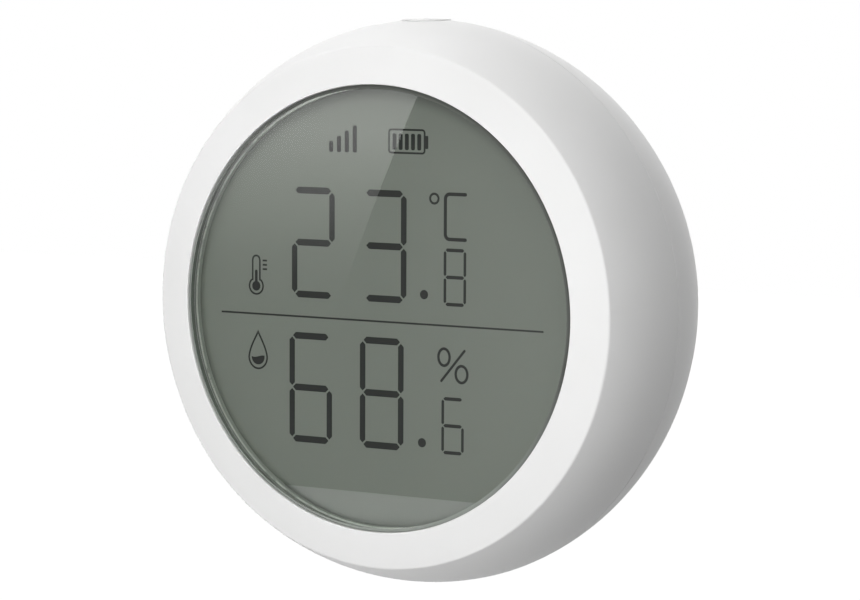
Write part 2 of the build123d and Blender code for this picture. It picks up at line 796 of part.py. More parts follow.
# Dust filter: thin curved mesh pad bonded inside the air slots
filter_arc = vent_count * vent_pitch_angle
filter_front = y_vent - vent_length / 2 - filter_margin
filter_rear = y_vent + vent_length / 2 + filter_margin
with BuildPart() as vent_filter:
    with BuildSketch(Plane.XY.rotated((0, 90 - filter_arc / 2, 0))):
        with BuildLine():
            outward_arc((belly_inner_radius, y_seam), (neck_inner_radius, y_neck), rear_flank_bow)
            Line((neck_inner_radius, y_neck), (neck_inner_radius - filter_thickness, y_neck))
            outward_arc(
                (belly_inner_radius - filter_thickness, y_seam),
                (neck_inner_radius - filter_thickness, y_neck),
                rear_flank_bow,
            )
            Line((belly_inner_radius - filter_thickness, y_seam), (belly_inner_radius, y_seam))
        make_face()
        with BuildLine():
            ring_profile(flange_radius, belly_radius, filter_front, filter_rear)
        make_face(mode=Mode.INTERSECT)
    revolve(axis=Axis.Y, revolution_arc=filter_arc)
vent_filter.part.label = "vent_filter"
export_step(vent_filter.part, "parts/vent_filter.step")

# Back cover: domed edge, flat back with a recess for the pad, spigot with three lugs
with BuildPart() as back_cover:
    with BuildSketch(Plane.XY):
        with BuildLine():
            outward_arc((neck_radius, y_neck + cover_gap), (back_flat_radius, 0), cover_bow)
            Polyline(
                (back_flat_radius, 0),
                (pad_radius + pad_clearance, 0),
                (pad_radius + pad_clearance, -pad_thickness),
                (0, -pad_thickness),
                (0, y_cover_inside),
                (spigot_inner_radius, y_cover_inside),
                (spigot_inner_radius, y_lug),
                (spigot_radius, y_lug),
                (spigot_radius, y_neck + cover_gap),
                (neck_radius, y_neck + cover_gap),
            )
        make_face()
    revolve(axis=Axis.Y)
    for turn in range(lug_count):
        with BuildSketch(Plane.XY.rotated((0, turn * 360 / lug_count - lug_angle / 2, 0))):
            with BuildLine():
                ring_profile(spigot_inner_radius + spigot_wall / 2, lug_radius, y_lug, y_lug_rear)
            make_face()
        revolve(axis=Axis.Y, revolution_arc=lug_angle)
back_cover.part.label = "back_cover"
export_step(back_cover.part, "parts/back_cover.step")

# Foam pad with adhesive on both faces, flush with the back
with BuildPart() as adhesive_pad:
    with BuildSketch(front_plane(0)):
        Circle(pad_radius)
    extrude(amount=pad_thickness)
adhesive_pad.part.label = "adhesive_pad"
export_step(adhesive_pad.part, "parts/adhesive_pad.step")

print(f"diameter {2 * belly_radius:.2f}, depth {-y_lip:.2f}, button travel {button_travel:.2f}")
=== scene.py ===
"""Visual model of a round temperature and humidity sensor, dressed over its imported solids.

The frame is the solids' own: metres, +Z up, the display looks along -Y and the flat back lies in Y = 0.
Sizes of the object are in millimetres, and MM turns them into metres where a mesh is finished. Sizes of the
studio are in metres.
"""

import json
import logging
from dataclasses import dataclass, replace
from enum import Enum
from math import atan2, cos, hypot, pi, radians, sin

import bmesh
import bpy
from mathutils import Matrix, Vector

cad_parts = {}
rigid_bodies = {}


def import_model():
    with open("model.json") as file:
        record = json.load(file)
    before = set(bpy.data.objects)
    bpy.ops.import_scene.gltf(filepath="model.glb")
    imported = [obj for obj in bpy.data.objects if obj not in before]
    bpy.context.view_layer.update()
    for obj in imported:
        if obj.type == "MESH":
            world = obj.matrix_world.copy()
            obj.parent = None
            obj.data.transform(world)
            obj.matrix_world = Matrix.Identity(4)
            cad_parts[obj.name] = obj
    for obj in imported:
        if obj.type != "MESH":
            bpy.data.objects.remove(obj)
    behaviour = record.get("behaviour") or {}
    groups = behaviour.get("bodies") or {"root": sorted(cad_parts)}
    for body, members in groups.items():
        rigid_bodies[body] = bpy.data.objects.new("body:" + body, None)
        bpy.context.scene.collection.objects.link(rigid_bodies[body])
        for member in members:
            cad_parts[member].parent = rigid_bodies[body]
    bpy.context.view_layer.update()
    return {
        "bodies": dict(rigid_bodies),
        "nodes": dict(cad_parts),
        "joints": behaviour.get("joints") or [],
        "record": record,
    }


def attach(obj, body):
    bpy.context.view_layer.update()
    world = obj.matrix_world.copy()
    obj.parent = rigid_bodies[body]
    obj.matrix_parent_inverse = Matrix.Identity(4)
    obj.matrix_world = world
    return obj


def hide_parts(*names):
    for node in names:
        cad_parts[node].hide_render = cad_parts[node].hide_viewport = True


MM = 0.001
HAIR = 0.0004
MERGE = 0.0005
TOUCH = 0.001
NEAR_PLANE = 0.0001
FLAT = 0.9999

log = logging.getLogger("sensor_scene")

Point = tuple[float, float]
Place = tuple[float, float, float]
Colour = tuple[float, float, float]
Socket = bpy.types.NodeSocket
Value = Socket | float
Material = bpy.types.Material
Mesh = bmesh.types.BMesh
Vert = bmesh.types.BMVert


class Body(Enum):
    """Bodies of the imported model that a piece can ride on."""

    WALL_COVER = "wall_cover"
    SENSOR_UNIT = "sensor_unit"
    BUTTON = "button"


class Segment(Enum):
    """The seven segments of a digit."""

    TOP = "a"
    UPPER_RIGHT = "b"
    LOWER_RIGHT = "c"
    BOTTOM = "d"
    LOWER_LEFT = "e"
    UPPER_LEFT = "f"
    MIDDLE = "g"


DIGIT_SEGMENTS: dict[int, str] = {2: "abged", 3: "abgcd", 6: "afgedc", 8: "abcdefg"}


# Finishes


class Nodes:
    """A node tree, with the node set-ups that the finishes and the studio share."""

    def __init__(self, tree: bpy.types.NodeTree) -> None:
        """Empties the tree."""
        self.tree = tree
        self.tree.nodes.clear()

    def node(self, kind: str, inputs: dict | None = None, **properties: object) -> bpy.types.Node:
        """Adds a node.

        Args:
            kind: the node's type name.
            inputs: what goes into its sockets, by name or number: another node's socket, or a value.
            properties: property values by name.

        Returns:
            The new node.
        """
        made = self.tree.nodes.new(kind)
        for key, value in properties.items():
            setattr(made, key, value)
        for key, value in (inputs or {}).items():
            if isinstance(value, Socket):
                self.tree.links.new(value, made.inputs[key])
            else:
                made.inputs[key].default_value = value
        return made

    def here(self) -> Socket:
        """Object coordinates."""
        return self.node("ShaderNodeTexCoord").outputs["Object"]

    def along(self, axis: str) -> Socket:
        """One of the Object coordinates: X, Y or Z."""
        return self.node("ShaderNodeSeparateXYZ", {"Vector": self.here()}).outputs[axis]

    def maths(self, operation: str, first: Value, second: Value, clamp: bool = False) -> Socket:
        """Works out a sum, a product or the like.

        Args:
            operation: the name of the operation.
            first: its first socket or number.
            second: its second socket or number.
            clamp: keeps the result between 0 and 1.

        Returns:
            The result's socket.
        """
        made = self.node("ShaderNodeMath", {0: first, 1: second}, operation=operation, use_clamp=clamp)
        return made.outputs["Value"]

    def ranged(self, value: Socket, span: Point, onto: Point = (0.0, 1.0), smooth: bool = False) -> Socket:
        """Takes a value's run over one span onto another span, and holds it at the ends.

        Args:
            value: the value's socket.
            span: where the run starts and ends.
            onto: results at the start and at the end.
            smooth: eases the run in and out.

        Returns:
            The result's socket.
        """
        inputs = {"Value": value, "From Min": span[0], "From Max": span[1], "To Min": onto[0]}
        inputs["To Max"] = onto[1]
        kind = "SMOOTHSTEP" if smooth else "LINEAR"
        return self.node("ShaderNodeMapRange", inputs, interpolation_type=kind).outputs["Result"]

    def noise(self, scale: float, detail: float, stretch: Place = (1, 1, 1)) -> Socket:
        """Noise on Object coordinates.

        Args:
            scale: noise scale per metre.
            detail: octaves of the noise.
            stretch: scale of the coordinates along each axis.

        Returns:
            The noise's factor socket.
        """
        mapping = self.node("ShaderNodeMapping", {"Vector": self.here(), "Scale": stretch})
        inputs = {"Vector": mapping.outputs["Vector"], "Scale": scale, "Detail": detail}
        return self.node("ShaderNodeTexNoise", inputs).outputs["Fac"]

    def bump(self, height: Socket, relief: Point) -> Socket:
        """Bump from a height.

        Args:
            height: socket with the height.
            relief: the bump's height in metres, and its strength from 0 to 1.

        Returns:
            The normal socket.
        """
        inputs = {"Height": height, "Distance": relief[0], "Strength": relief[1]}
        return self.node("ShaderNodeBump", inputs).outputs["Normal"]

    def tones(self, factor: Socket, dark: Colour, light: Colour, spread: Point = (0.0, 1.0)) -> Socket:
        """Colour ramp between two tones.

        Args:
            factor: socket that drives the ramp.
            dark: colour at and below the spread's start.
            light: colour at and above the spread's end.
            spread: ramp positions of the two tones.

        Returns:
            The colour socket.
        """
        ramp = self.node("ShaderNodeValToRGB", {"Fac": factor})
        for stop, position, colour in zip(ramp.color_ramp.elements, spread, (dark, light)):
            stop.position = position
            stop.color = (*colour, 1)
        return ramp.outputs["Color"]

    def glow(self, strength: Value) -> Socket:
        """White emission."""
        return self.node("ShaderNodeEmission", {"Strength": strength}).outputs["Emission"]

    def mix(self, factor: Socket, first: Socket, second: Socket) -> Socket:
        """Shader that goes from the first to the second with the factor."""
        return self.node("ShaderNodeMixShader", {"Fac": factor, 1: first, 2: second}).outputs["Shader"]

    def seen_rays(self) -> Socket:
        """Socket that is 1 for camera, glossy and transmission rays."""
        path = self.node("ShaderNodeLightPath").outputs
        first = self.maths("MAXIMUM", path["Is Camera Ray"], path["Is Glossy Ray"])
        return self.maths("MAXIMUM", first, path["Is Transmission Ray"])


class Shader(Nodes):
    """A new material and its nodes."""

    def __init__(self, name: str) -> None:
        """Starts an empty material."""
        self.material = bpy.data.materials.new(name)
        self.material.use_nodes = True
        super().__init__(self.material.node_tree)

    def surface(self, shader: Socket) -> Material:
        """Ends the tree with a surface shader and returns the material."""
        self.node("ShaderNodeOutputMaterial", {"Surface": shader})
        return self.material

    def body(self, inputs: dict) -> Material:
        """Ends the tree with a plastic, metal or other plain body, and returns the material."""
        return self.surface(self.node("ShaderNodeBsdfPrincipled", inputs).outputs["BSDF"])


@dataclass(frozen=True)
class MouldedPlastic:
    """Opaque moulded plastic with a fine spark-eroded grain and a faint variation of tone."""

    name: str
    dark: Colour
    light: Colour
    roughness: float = 0.45
    grain: float = 9000.0
    relief: Point = (0.000004, 0.25)
    mottle: float = 60.0
    specular: float = 0.4
    detail: float = 2.0
    spread: Point = (0.35, 0.65)

    def material(self) -> Material:
        """Builds the material."""
        tree = Shader(self.name)
        mottle = tree.noise(self.mottle, self.detail)
        return tree.body({
            "Roughness": self.roughness,
            "Specular IOR Level": self.specular,
            "Base Color": tree.tones(mottle, self.dark, self.light, self.spread),
            "Normal": tree.bump(tree.noise(self.grain, self.detail), self.relief),
        })


@dataclass(frozen=True)
class PlainMetal:
    """Bare or plated metal with a fine drawn grain."""

    name: str
    dark: Colour
    light: Colour
    roughness: float = 0.32
    grain: float = 1500.0
    detail: float = 3.0
    stretch: Place = (1, 1, 12)
    spread: Point = (0.3, 0.7)
    relief: Point = (0.000004, 0.2)

    def material(self) -> Material:
        """Builds the material."""
        tree = Shader(self.name)
        grain = tree.noise(self.grain, self.detail, self.stretch)
        return tree.body({
            "Metallic": 1.0,
            "Roughness": self.roughness,
            "Base Color": tree.tones(grain, self.dark, self.light, self.spread),
            "Normal": tree.bump(grain, self.relief),
        })


@dataclass(frozen=True)
class ClearSheet:
    """Clear sheet that keeps the look of what lies behind it and mirrors the studio on its outer faces."""

    name: str
    tint: Colour
    ior: float = 1.49
    roughness: float = 0.015

    def material(self) -> Material:
        """Builds the material."""
        tree = Shader(self.name)
        edge_on = tree.node("ShaderNodeFresnel", {"IOR": self.ior}).outputs["Fac"]
        inner_face = tree.node("ShaderNodeNewGeometry").outputs["Backfacing"]
        shine = tree.maths("MULTIPLY", edge_on, tree.maths("SUBTRACT", 1.0, inner_face))
        through = tree.node("ShaderNodeBsdfTransparent", {"Color": (*self.tint, 1)})
        mirror = tree.node("ShaderNodeBsdfGlossy", {"Roughness": self.roughness})
        return tree.surface(tree.mix(shine, through.outputs["BSDF"], mirror.outputs["BSDF"]))


@dataclass(frozen=True)
class TwoTone:
    """Surface whose tone goes from pale to deep along a direction. The lens's edge and bevelled rim use it
    for painted reflection and painted light and shade.
    """

    name: str
    deep: Colour
    pale: Colour
    toward: Place
    line: float
    softness: float
    roughness: float = 0.3
    specular: float = 0.5

    def material(self) -> Material:
        """Builds the material."""
        tree = Shader(self.name)
        along = tree.node("ShaderNodeVectorMath", {0: tree.here(), 1: self.toward}, operation="DOT_PRODUCT")
        span = ((self.line - self.softness) * MM, (self.line + self.softness) * MM)
        return tree.body({
            "Roughness": self.roughness,
            "Specular IOR Level": self.specular,
            "Base Color": tree.tones(tree.ranged(along.outputs["Value"], span), self.pale, self.deep),
        })


@dataclass(frozen=True)
class RoundTone:
    """Matt sheet seen through a round opening, with painted shade: a deeper tone outside a circle round a
    line along Y, where the opening's rim shades it.
    """

    name: str
    middle: Colour
    outside: Colour
    centre: Place
    circle: float
    softness: float
    roughness: float = 0.5

    def material(self) -> Material:
        """Builds the material."""
        tree = Shader(self.name)
        level = tree.node("ShaderNodeVectorMath", {0: tree.here(), 1: (1, 0, 1)}, operation="MULTIPLY")
        ends = {0: level.outputs["Vector"], 1: Vector(self.centre) * MM}
        reach = tree.node("ShaderNodeVectorMath", ends, operation="DISTANCE")
        span = ((self.circle - self.softness) * MM, (self.circle + self.softness) * MM)
        step = tree.ranged(reach.outputs["Value"], span, smooth=True)
        tone = tree.tones(step, self.middle, self.outside)
        return tree.body({"Roughness": self.roughness, "Base Color": tone})


@dataclass(frozen=True)
class WovenMesh:
    """Fine woven dust mesh."""

    name: str
    dark: Colour
    light: Colour
    weave: float = 476.1905
    spread: Point = (0.3, 0.7)
    relief: Point = (0.00005, 0.6)
    roughness: float = 0.8

    def material(self) -> Material:
        """Builds the material."""
        tree = Shader(self.name)
        inputs = {"Vector": tree.here(), "Scale": self.weave}
        weave = tree.node("ShaderNodeTexWave", inputs, bands_direction="DIAGONAL").outputs["Fac"]
        return tree.body({
            "Roughness": self.roughness,
            "Base Color": tree.tones(weave, self.dark, self.light, self.spread),
            "Normal": tree.bump(weave, self.relief),
        })


@dataclass(frozen=True)
class PrintedWrap:
    """Printed film round a battery cell, with a band of another tone at one end."""

    name: str
    body: Colour
    band: Colour
    band_start: float
    softness: float = 0.1
    roughness: float = 0.3
    coat: float = 0.4

    def material(self) -> Material:
        """Builds the material."""
        tree = Shader(self.name)
        span = ((self.band_start - self.softness) * MM, (self.band_start + self.softness) * MM)
        return tree.body({
            "Roughness": self.roughness,
            "Coat Weight": self.coat,
            "Base Color": tree.tones(tree.ranged(tree.along("X"), span), self.body, self.band),
        })


@dataclass(frozen=True)
class Foam:
    """Closed-cell foam with small pores."""

    name: str
    dark: Colour
    light: Colour
    pore: float = 2600.0
    spread: Point = (0.0, 0.5)
    relief: Point = (0.00006, 0.6)
    roughness: float = 0.85

    def material(self) -> Material:
        """Builds the material."""
        tree = Shader(self.name)
        inputs = {"Vector": tree.here(), "Scale": self.pore}
        pores = tree.node("ShaderNodeTexVoronoi", inputs).outputs["Distance"]
        return tree.body({
            "Roughness": self.roughness,
            "Base Color": tree.tones(pores, self.dark, self.light, self.spread),
            "Normal": tree.bump(pores, self.relief),
        })


Finish = MouldedPlastic | PlainMetal | ClearSheet | TwoTone | RoundTone | WovenMesh | PrintedWrap | Foam


class Palette:
    """Finishes of the new pieces and of the nodes that show through the window, each made once."""

    def __init__(self) -> None:
        """Builds the materials."""
        self.shell = MouldedPlastic("shell_plastic", (0.83, 0.83, 0.825), (0.86, 0.86, 0.857)).material()
        self.button = MouldedPlastic("button_plastic", (0.82, 0.82, 0.815), (0.85, 0.85, 0.845)).material()
        self.lens = ClearSheet("lens_clear", (0.985, 0.995, 0.985)).material()
        # Painted reflection: the lens's edge shows the display behind it, darker green above the display's
        # lower edge and paler below.
        self.lens_edge_painted_reflection = TwoTone(
            "lens_edge_painted_reflection", (0.16, 0.18, 0.16), (0.3, 0.32, 0.3), (0, 0, 1), -21.5, 0.4
        ).material()
        # Painted light and shade: the lens's bevelled rim is darker towards the upper right, where it lies in
        # shade, and paler towards the lower left, where it catches the light.
        self.lens_rim_painted_light_and_shade = TwoTone(
            "lens_rim_painted_light_and_shade", (0.1, 0.107, 0.096), (0.34, 0.365, 0.335), (0.6, 0, 0.8), 0.0, 10.0
        ).material()
        # The tape is pale, with painted shade beyond 25.5 mm from the axis, where it lies under the lens's
        # rim.
        self.ledge_tape_with_painted_shade = RoundTone(
            "ledge_tape_with_painted_shade", (0.86, 0.89, 0.84), (0.3, 0.32, 0.29), (0, 0, 0), 25.5, 0.07
        ).material()
        self.ledge_wall = MouldedPlastic(
            "ledge_wall", (0.38, 0.41, 0.37), (0.4, 0.43, 0.39), 0.5, 7000.0, (0.000001, 0.1), 90.0, 0.3
        ).material()
        # Painted shade: the display darkens outside a circle set low and to the left, so that the shade of
        # the window's rim lies mostly along the top.
        self.film = RoundTone(
            "display_film_with_painted_shade", (0.153, 0.166, 0.145), (0.055, 0.06, 0.053), (-0.5, 0, -1.7), 26.0, 1.2
        ).material()
        self.ledge_glass = MouldedPlastic(
            "ledge_glass", (0.255, 0.263, 0.25), (0.261, 0.269, 0.256), 0.5, 5000.0,
            (0.000002, 0.1), 90.0, 0.2,
        ).material()
        # The ink is darker towards the upper left.
        self.print_ink = TwoTone(
            "display_ink", (0.003, 0.003, 0.003), (0.026, 0.0265, 0.026), (-0.37, 0, 0.93), 17.6, 1.8,
            0.6, 0.17,
        ).material()
        self.foam = Foam("pad_foam", (0.74, 0.74, 0.72), (0.86, 0.86, 0.84)).material()


# Meshes


class Lathe:
    """Draws a section in the (radius, depth) half-plane and spins it round the Y axis. All in millimetres."""

    def __init__(self, radius: float, depth: float) -> None:
        """Starts the section at a distance from the axis and a place along Y."""
        self.mesh = bmesh.new()
        self.first = self.mesh.verts.new((radius, depth, 0))
        self.last = self.first

    def line(self, *points: Point) -> "Lathe":
        """Adds straight runs.

        Args:
            points: radius and depth of the end of each run.

        Returns:
            The lathe.
        """
        for radius, depth in points:
            point = self.mesh.verts.new((radius, depth, 0))
            self.mesh.edges.new((self.last, point))
            self.last = point
        return self

    def arc(self, point: Point, bow: float, steps: int = 24) -> "Lathe":
        """Adds an arc.

        Args:
            point: radius and depth of its end.
            bow: height of the arc over its chord, positive to the right of the way along it.
            steps: edges along the arc.

        Returns:
            The lathe.
        """
        start = self.last.co.copy()
        end = Vector((*point, 0))
        run = end - start
        chord = run.length
        size = (chord * chord / 4 + bow * bow) / (2 * abs(bow))
        right = Vector((run.y, -run.x, 0)) / chord
        side = 1 if bow > 0 else -1
        centre = (start + end) / 2 + right * side * (abs(bow) - size)
        sweep = 2 * atan2(chord / 2, size - abs(bow)) * side
        made = bmesh.ops.spin(
            self.mesh, geom=[self.last], cent=centre, axis=(0, 0, 1), angle=sweep, steps=steps,
            use_merge=False, use_duplicate=False,
        )
        ends = [item for item in made["geom_last"] if isinstance(item, Vert)]
        self.last = min(ends, key=lambda vert: (vert.co - end).length)
        self.last.co = end
        return self

    def close(self) -> "Lathe":
        """Joins the last point to the first and returns the lathe."""
        self.mesh.edges.new((self.last, self.first))
        return self

    def soften(self, corners: list[Point], size: float, steps: int = 4) -> "Lathe":
        """Rounds corners of the section.

        Args:
            corners: points to round.
            size: distance from the corner to the start of its round.
            steps: edges in each round.

        Returns:
            The lathe.
        """
        chosen = [
            vert
            for vert in self.mesh.verts
            if any(hypot(vert.co.x - x, vert.co.y - y) < TOUCH for x, y in corners)
        ]
        bmesh.ops.bevel(
            self.mesh, geom=chosen, affect="VERTICES", offset=size, segments=steps, profile=0.5, material=-1
        )
        return self

    def spin(self, steps: int = 192) -> Mesh:
        """Turns the section a full turn.

        Args:
            steps: faces round the axis.

        Returns:
            The mesh, closed where the section is.
        """
        bmesh.ops.spin(
            self.mesh, geom=self.mesh.verts[:] + self.mesh.edges[:], cent=(0, 0, 0), axis=(0, 1, 0),
            angle=2 * pi, steps=steps, use_merge=True, use_duplicate=False,
        )
        bmesh.ops.remove_doubles(self.mesh, verts=self.mesh.verts, dist=MERGE)
        bmesh.ops.recalc_face_normals(self.mesh, faces=self.mesh.faces)
        return self.mesh

    def spin_capped(self, steps: int = 192) -> Mesh:
        """Spins a section that is open at the axis, and closes the small holes left there.

        Args:
            steps: faces round the axis.

        Returns:
            The closed mesh.
        """
        mesh = self.spin(steps)
        bmesh.ops.holes_fill(mesh, edges=[edge for edge in mesh.edges if edge.is_boundary], sides=0)
        bmesh.ops.recalc_face_normals(mesh, faces=mesh.faces)
        return mesh


def new_object(name: str, shape: Mesh, finishes: list[Material]) -> bpy.types.Object:
    """Puts a mesh in metres into the scene, as an object at the origin.

    Args:
        name: the object's name.
        shape: its mesh, used up here.
        finishes: materials by face index.

    Returns:
        The object.
    """
    data = bpy.data.meshes.new(name)
    shape.to_mesh(data)
    shape.free()
    for finish in finishes:
        data.materials.append(finish)
    made = bpy.data.objects.new(name, data)
    bpy.context.scene.collection.objects.link(made)
    return made


class Workshop:
    """Turns shapes in millimetres into finished objects and cuts them."""

    def __init__(self, palette: Palette) -> None:
        """Keeps the palette."""
        self.palette = palette

    def finish(
        self,
        name: str,
        shape: Mesh,
        finishes: list[Material],
        body: Body,
        smooth_angle: float = 32.0,
        cutters: tuple[bpy.types.Object, ...] = (),
    ) -> bpy.types.Object:
        """Makes the object, cuts it, shades it and puts it on its body.

        Args:
            name: the piece's name.
            shape: its mesh, used up here.
            finishes: materials by face index.
            body: the body it rides on.
            smooth_angle: edges sharper than this many degrees stay sharp.
            cutters: objects whose volume is taken out.

        Returns:
            The finished object.
        """
        bmesh.ops.scale(shape, vec=(MM, MM, MM), verts=shape.verts)
        piece = new_object(name, shape, finishes)
        for cutter in cutters:
            cut = piece.modifiers.new("cut", "BOOLEAN")
            cut.operation = "DIFFERENCE"
            cut.solver = "EXACT"
            cut.object = cutter
        if cutters:
            view = bpy.context.evaluated_depsgraph_get()
            whole = bpy.data.meshes.new_from_object(piece.evaluated_get(view))
            piece.modifiers.clear()
            piece.data = whole
            whole.name = name
        for face in piece.data.polygons:
            face.use_smooth = abs(face.normal.y) < FLAT
        piece.data.set_sharp_from_angle(angle=radians(smooth_angle))
        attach(piece, body.value)
        log.info("%s: %d faces on %s", name, len(piece.data.polygons), body.value)
        return piece

    def cutter(self, shape: Mesh) -> bpy.types.Object:
        """Makes an object that is only used to cut.

        Args:
            shape: its mesh, used up here.

        Returns:
            The cutter.
        """
        bmesh.ops.scale(shape, vec=(MM, MM, MM), verts=shape.verts)
        bmesh.ops.recalc_face_normals(shape, faces=shape.faces)
        return new_object("cutter", shape, [])


# The case


@dataclass(frozen=True)
class CaseSizes:
    """Sizes that the shells, lens, button and cover share.

    Radii are the solids' own less a hair, and depths are places along Y.
    """

    belly: float = 33.0 - HAIR
    belly_inner: float = 31.2 - HAIR
    bezel: float = 30.0 - HAIR
    window: float = 25.65 - HAIR
    ledge: float = 25.25 - HAIR
    cavity: float = 28.4 - HAIR
    lap: float = 32.1 - HAIR
    tongue: float = 32.05 - HAIR
    neck: float = 30.2 - HAIR
    neck_inner: float = 28.4 - HAIR
    flange: float = 27.6 - HAIR
    spigot: float = 27.52 - HAIR
    spigot_inner: float = 26.2 - HAIR
    back_flat: float = 24.6 - HAIR
    lens: float = 25.6 - HAIR
    pad: float = 19.0
    y_lip: float = -26.03
    y_edge: float = -25.0
    y_lens_front: float = -25.93
    y_lens_rear: float = -24.63
    y_ledge: float = -24.47
    y_display: float = -23.86
    y_lap: float = -15.67
    y_button: float = -14.0
    y_seam: float = -13.87
    y_slots: float = -9.37
    y_spigot: float = -5.95
    y_flange: float = -4.8
    y_neck: float = -3.4
    y_cover_inside: float = -1.8
    cover_gap: float = 0.15
    seam_round: float = 0.13


@dataclass
class FrontShell:
    """White case front with the sloped ring round the display and the ledge behind the lens."""

    sizes: CaseSizes
    ring_bow: float = 0.05
    side_bow: float = 0.69
    side_steps: int = 40
    inside_bow: float = -0.4
    lip_round: float = 0.1
    edge_round: float = 0.16
    wall_margin: float = 0.01
    tape_index: int = 1
    wall_index: int = 2

    def section(self) -> Lathe:
        """Section of the shell."""
        s = self.sizes
        lathe = Lathe(s.window, s.y_lip)
        lathe.arc((s.bezel, s.y_edge), self.ring_bow).arc((s.belly, s.y_seam), self.side_bow, self.side_steps)
        lathe.line((s.lap, s.y_seam), (s.lap, s.y_lap), (s.belly_inner, s.y_lap))
        lathe.arc((s.cavity, s.y_display), self.inside_bow)
        lathe.line((s.ledge, s.y_display), (s.ledge, s.y_ledge), (s.window, s.y_ledge)).close()
        lathe.soften([(s.window, s.y_lip)], self.lip_round)
        lathe.soften([(s.bezel, s.y_edge)], self.edge_round, steps=6)
        return lathe.soften([(s.belly, s.y_seam)], s.seam_round, steps=3)

    def paint_ledge(self, mesh: Mesh) -> None:
        """Gives the ledge behind the lens its tape, and its wall the tone of the display beside it.

        Args:
            mesh: the shell's mesh.
        """
        for face in mesh.faces:
            middle = face.calc_center_median()
            reach = hypot(middle.x, middle.z)
            if reach < self.sizes.window and middle.y > self.sizes.y_ledge - TOUCH:
                on_tape = reach > self.sizes.ledge + self.wall_margin
                face.material_index = self.tape_index if on_tape else self.wall_index

    def build(self, shop: Workshop, cutters: tuple[bpy.types.Object, ...]) -> None:
        """Builds the shell.

        Args:
            shop: makes the object.
            cutters: what is cut out of it.
        """
        mesh = self.section().spin()
        self.paint_ledge(mesh)
        paint = [shop.palette.shell, shop.palette.ledge_tape_with_painted_shade, shop.palette.ledge_wall]
        front = shop.finish("case_front", mesh, paint, Body.SENSOR_UNIT, cutters=cutters)
        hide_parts("front_shell")


@dataclass
class RearShell:
    """White case rear with its tongue, its twist-lock flange and the air slots."""

    sizes: CaseSizes
    side_bow: float = 0.6
    side_steps: int = 40
    inside_bow: float = -0.5
    neck_round: float = 0.12
    flange_root: float = 0.17
    tongue_root: float = 1.8
    tongue_gap: float = 0.05

    def section(self) -> Lathe:
        """Section of the shell."""
        s = self.sizes
        tip = s.y_lap + self.tongue_gap
        lathe = Lathe(s.belly, s.y_seam).arc((s.neck, s.y_neck), self.side_bow, self.side_steps)
        lathe.line((s.flange, s.y_neck), (s.flange, s.y_flange))
        lathe.line((s.neck_inner + self.flange_root, s.y_flange))
        lathe.arc((s.belly_inner, s.y_seam + self.tongue_root), self.inside_bow)
        lathe.line((s.belly_inner, tip), (s.tongue, tip), (s.tongue, s.y_seam)).close()
        lathe.soften([(s.belly, s.y_seam)], s.seam_round, steps=3)
        return lathe.soften([(s.neck, s.y_neck)], self.neck_round, steps=3)

    def build(self, shop: Workshop, cutters: tuple[bpy.types.Object, ...]) -> None:
        """Builds the shell.

        Args:
            shop: makes the object.
            cutters: what is cut out of it.
        """
        paint = [shop.palette.shell]
        rear = shop.finish("case_rear", self.section().spin(), paint, Body.SENSOR_UNIT, cutters=cutters)
        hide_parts("rear_shell")


@dataclass
class Case:
    """Both shells, with the hole for the button on their seam and the air slots underneath."""

    sizes: CaseSizes
    button_hole: float = 3.0
    button_hole_depth: float = 12.0
    slot_count: int = 7
    slot_pitch: float = 6.0
    slot_width: float = 1.3
    slot_length: float = 5.4
    slot_depth: float = 6.0
    slot_margin: float = 2.0

    def button_cutter(self) -> Mesh:
        """Upright cylinder where the button passes the shells."""
        tool = bmesh.new()
        place = Matrix.Translation((0, self.sizes.y_button, self.sizes.belly))
        bmesh.ops.create_cone(
            tool, cap_ends=True, segments=96, radius1=self.button_hole, radius2=self.button_hole,
            depth=self.button_hole_depth, matrix=place,
        )
        return tool

    def slot_cutter(self) -> Mesh:
        """All the air slots as one mesh of upright, round-ended bars fanned round the axis."""
        tool = bmesh.new()
        reach = (self.slot_length - self.slot_width) / 2
        below = Matrix.Translation((0, self.sizes.y_slots, -self.sizes.belly - self.slot_margin))
        for number in range(self.slot_count):
            end = self.slot_width / 2
            bar = bmesh.ops.create_circle(tool, cap_ends=True, segments=32, radius=end)["verts"]
            for vert in bar:
                vert.co.y += reach if vert.co.y > 0 else -reach
            lifted = bmesh.ops.extrude_face_region(tool, geom=[bar[0].link_faces[0]])["geom"]
            tops = [item for item in lifted if isinstance(item, Vert)]
            bmesh.ops.translate(tool, verts=tops, vec=(0, 0, self.slot_depth))
            turn = radians((number - (self.slot_count - 1) / 2) * self.slot_pitch)
            bmesh.ops.transform(tool, matrix=Matrix.Rotation(turn, 4, "Y") @ below, verts=bar + tops)
        return tool

    def build(self, shop: Workshop) -> None:
        """Builds both shells.

        Args:
            shop: makes the objects.
        """
        button_tool = shop.cutter(self.button_cutter())
        slot_tool = shop.cutter(self.slot_cutter())
        FrontShell(self.sizes).build(shop, (button_tool,))
        RearShell(self.sizes).build(shop, (button_tool, slot_tool))
        for tool in (button_tool, slot_tool):
            bpy.data.objects.remove(tool)


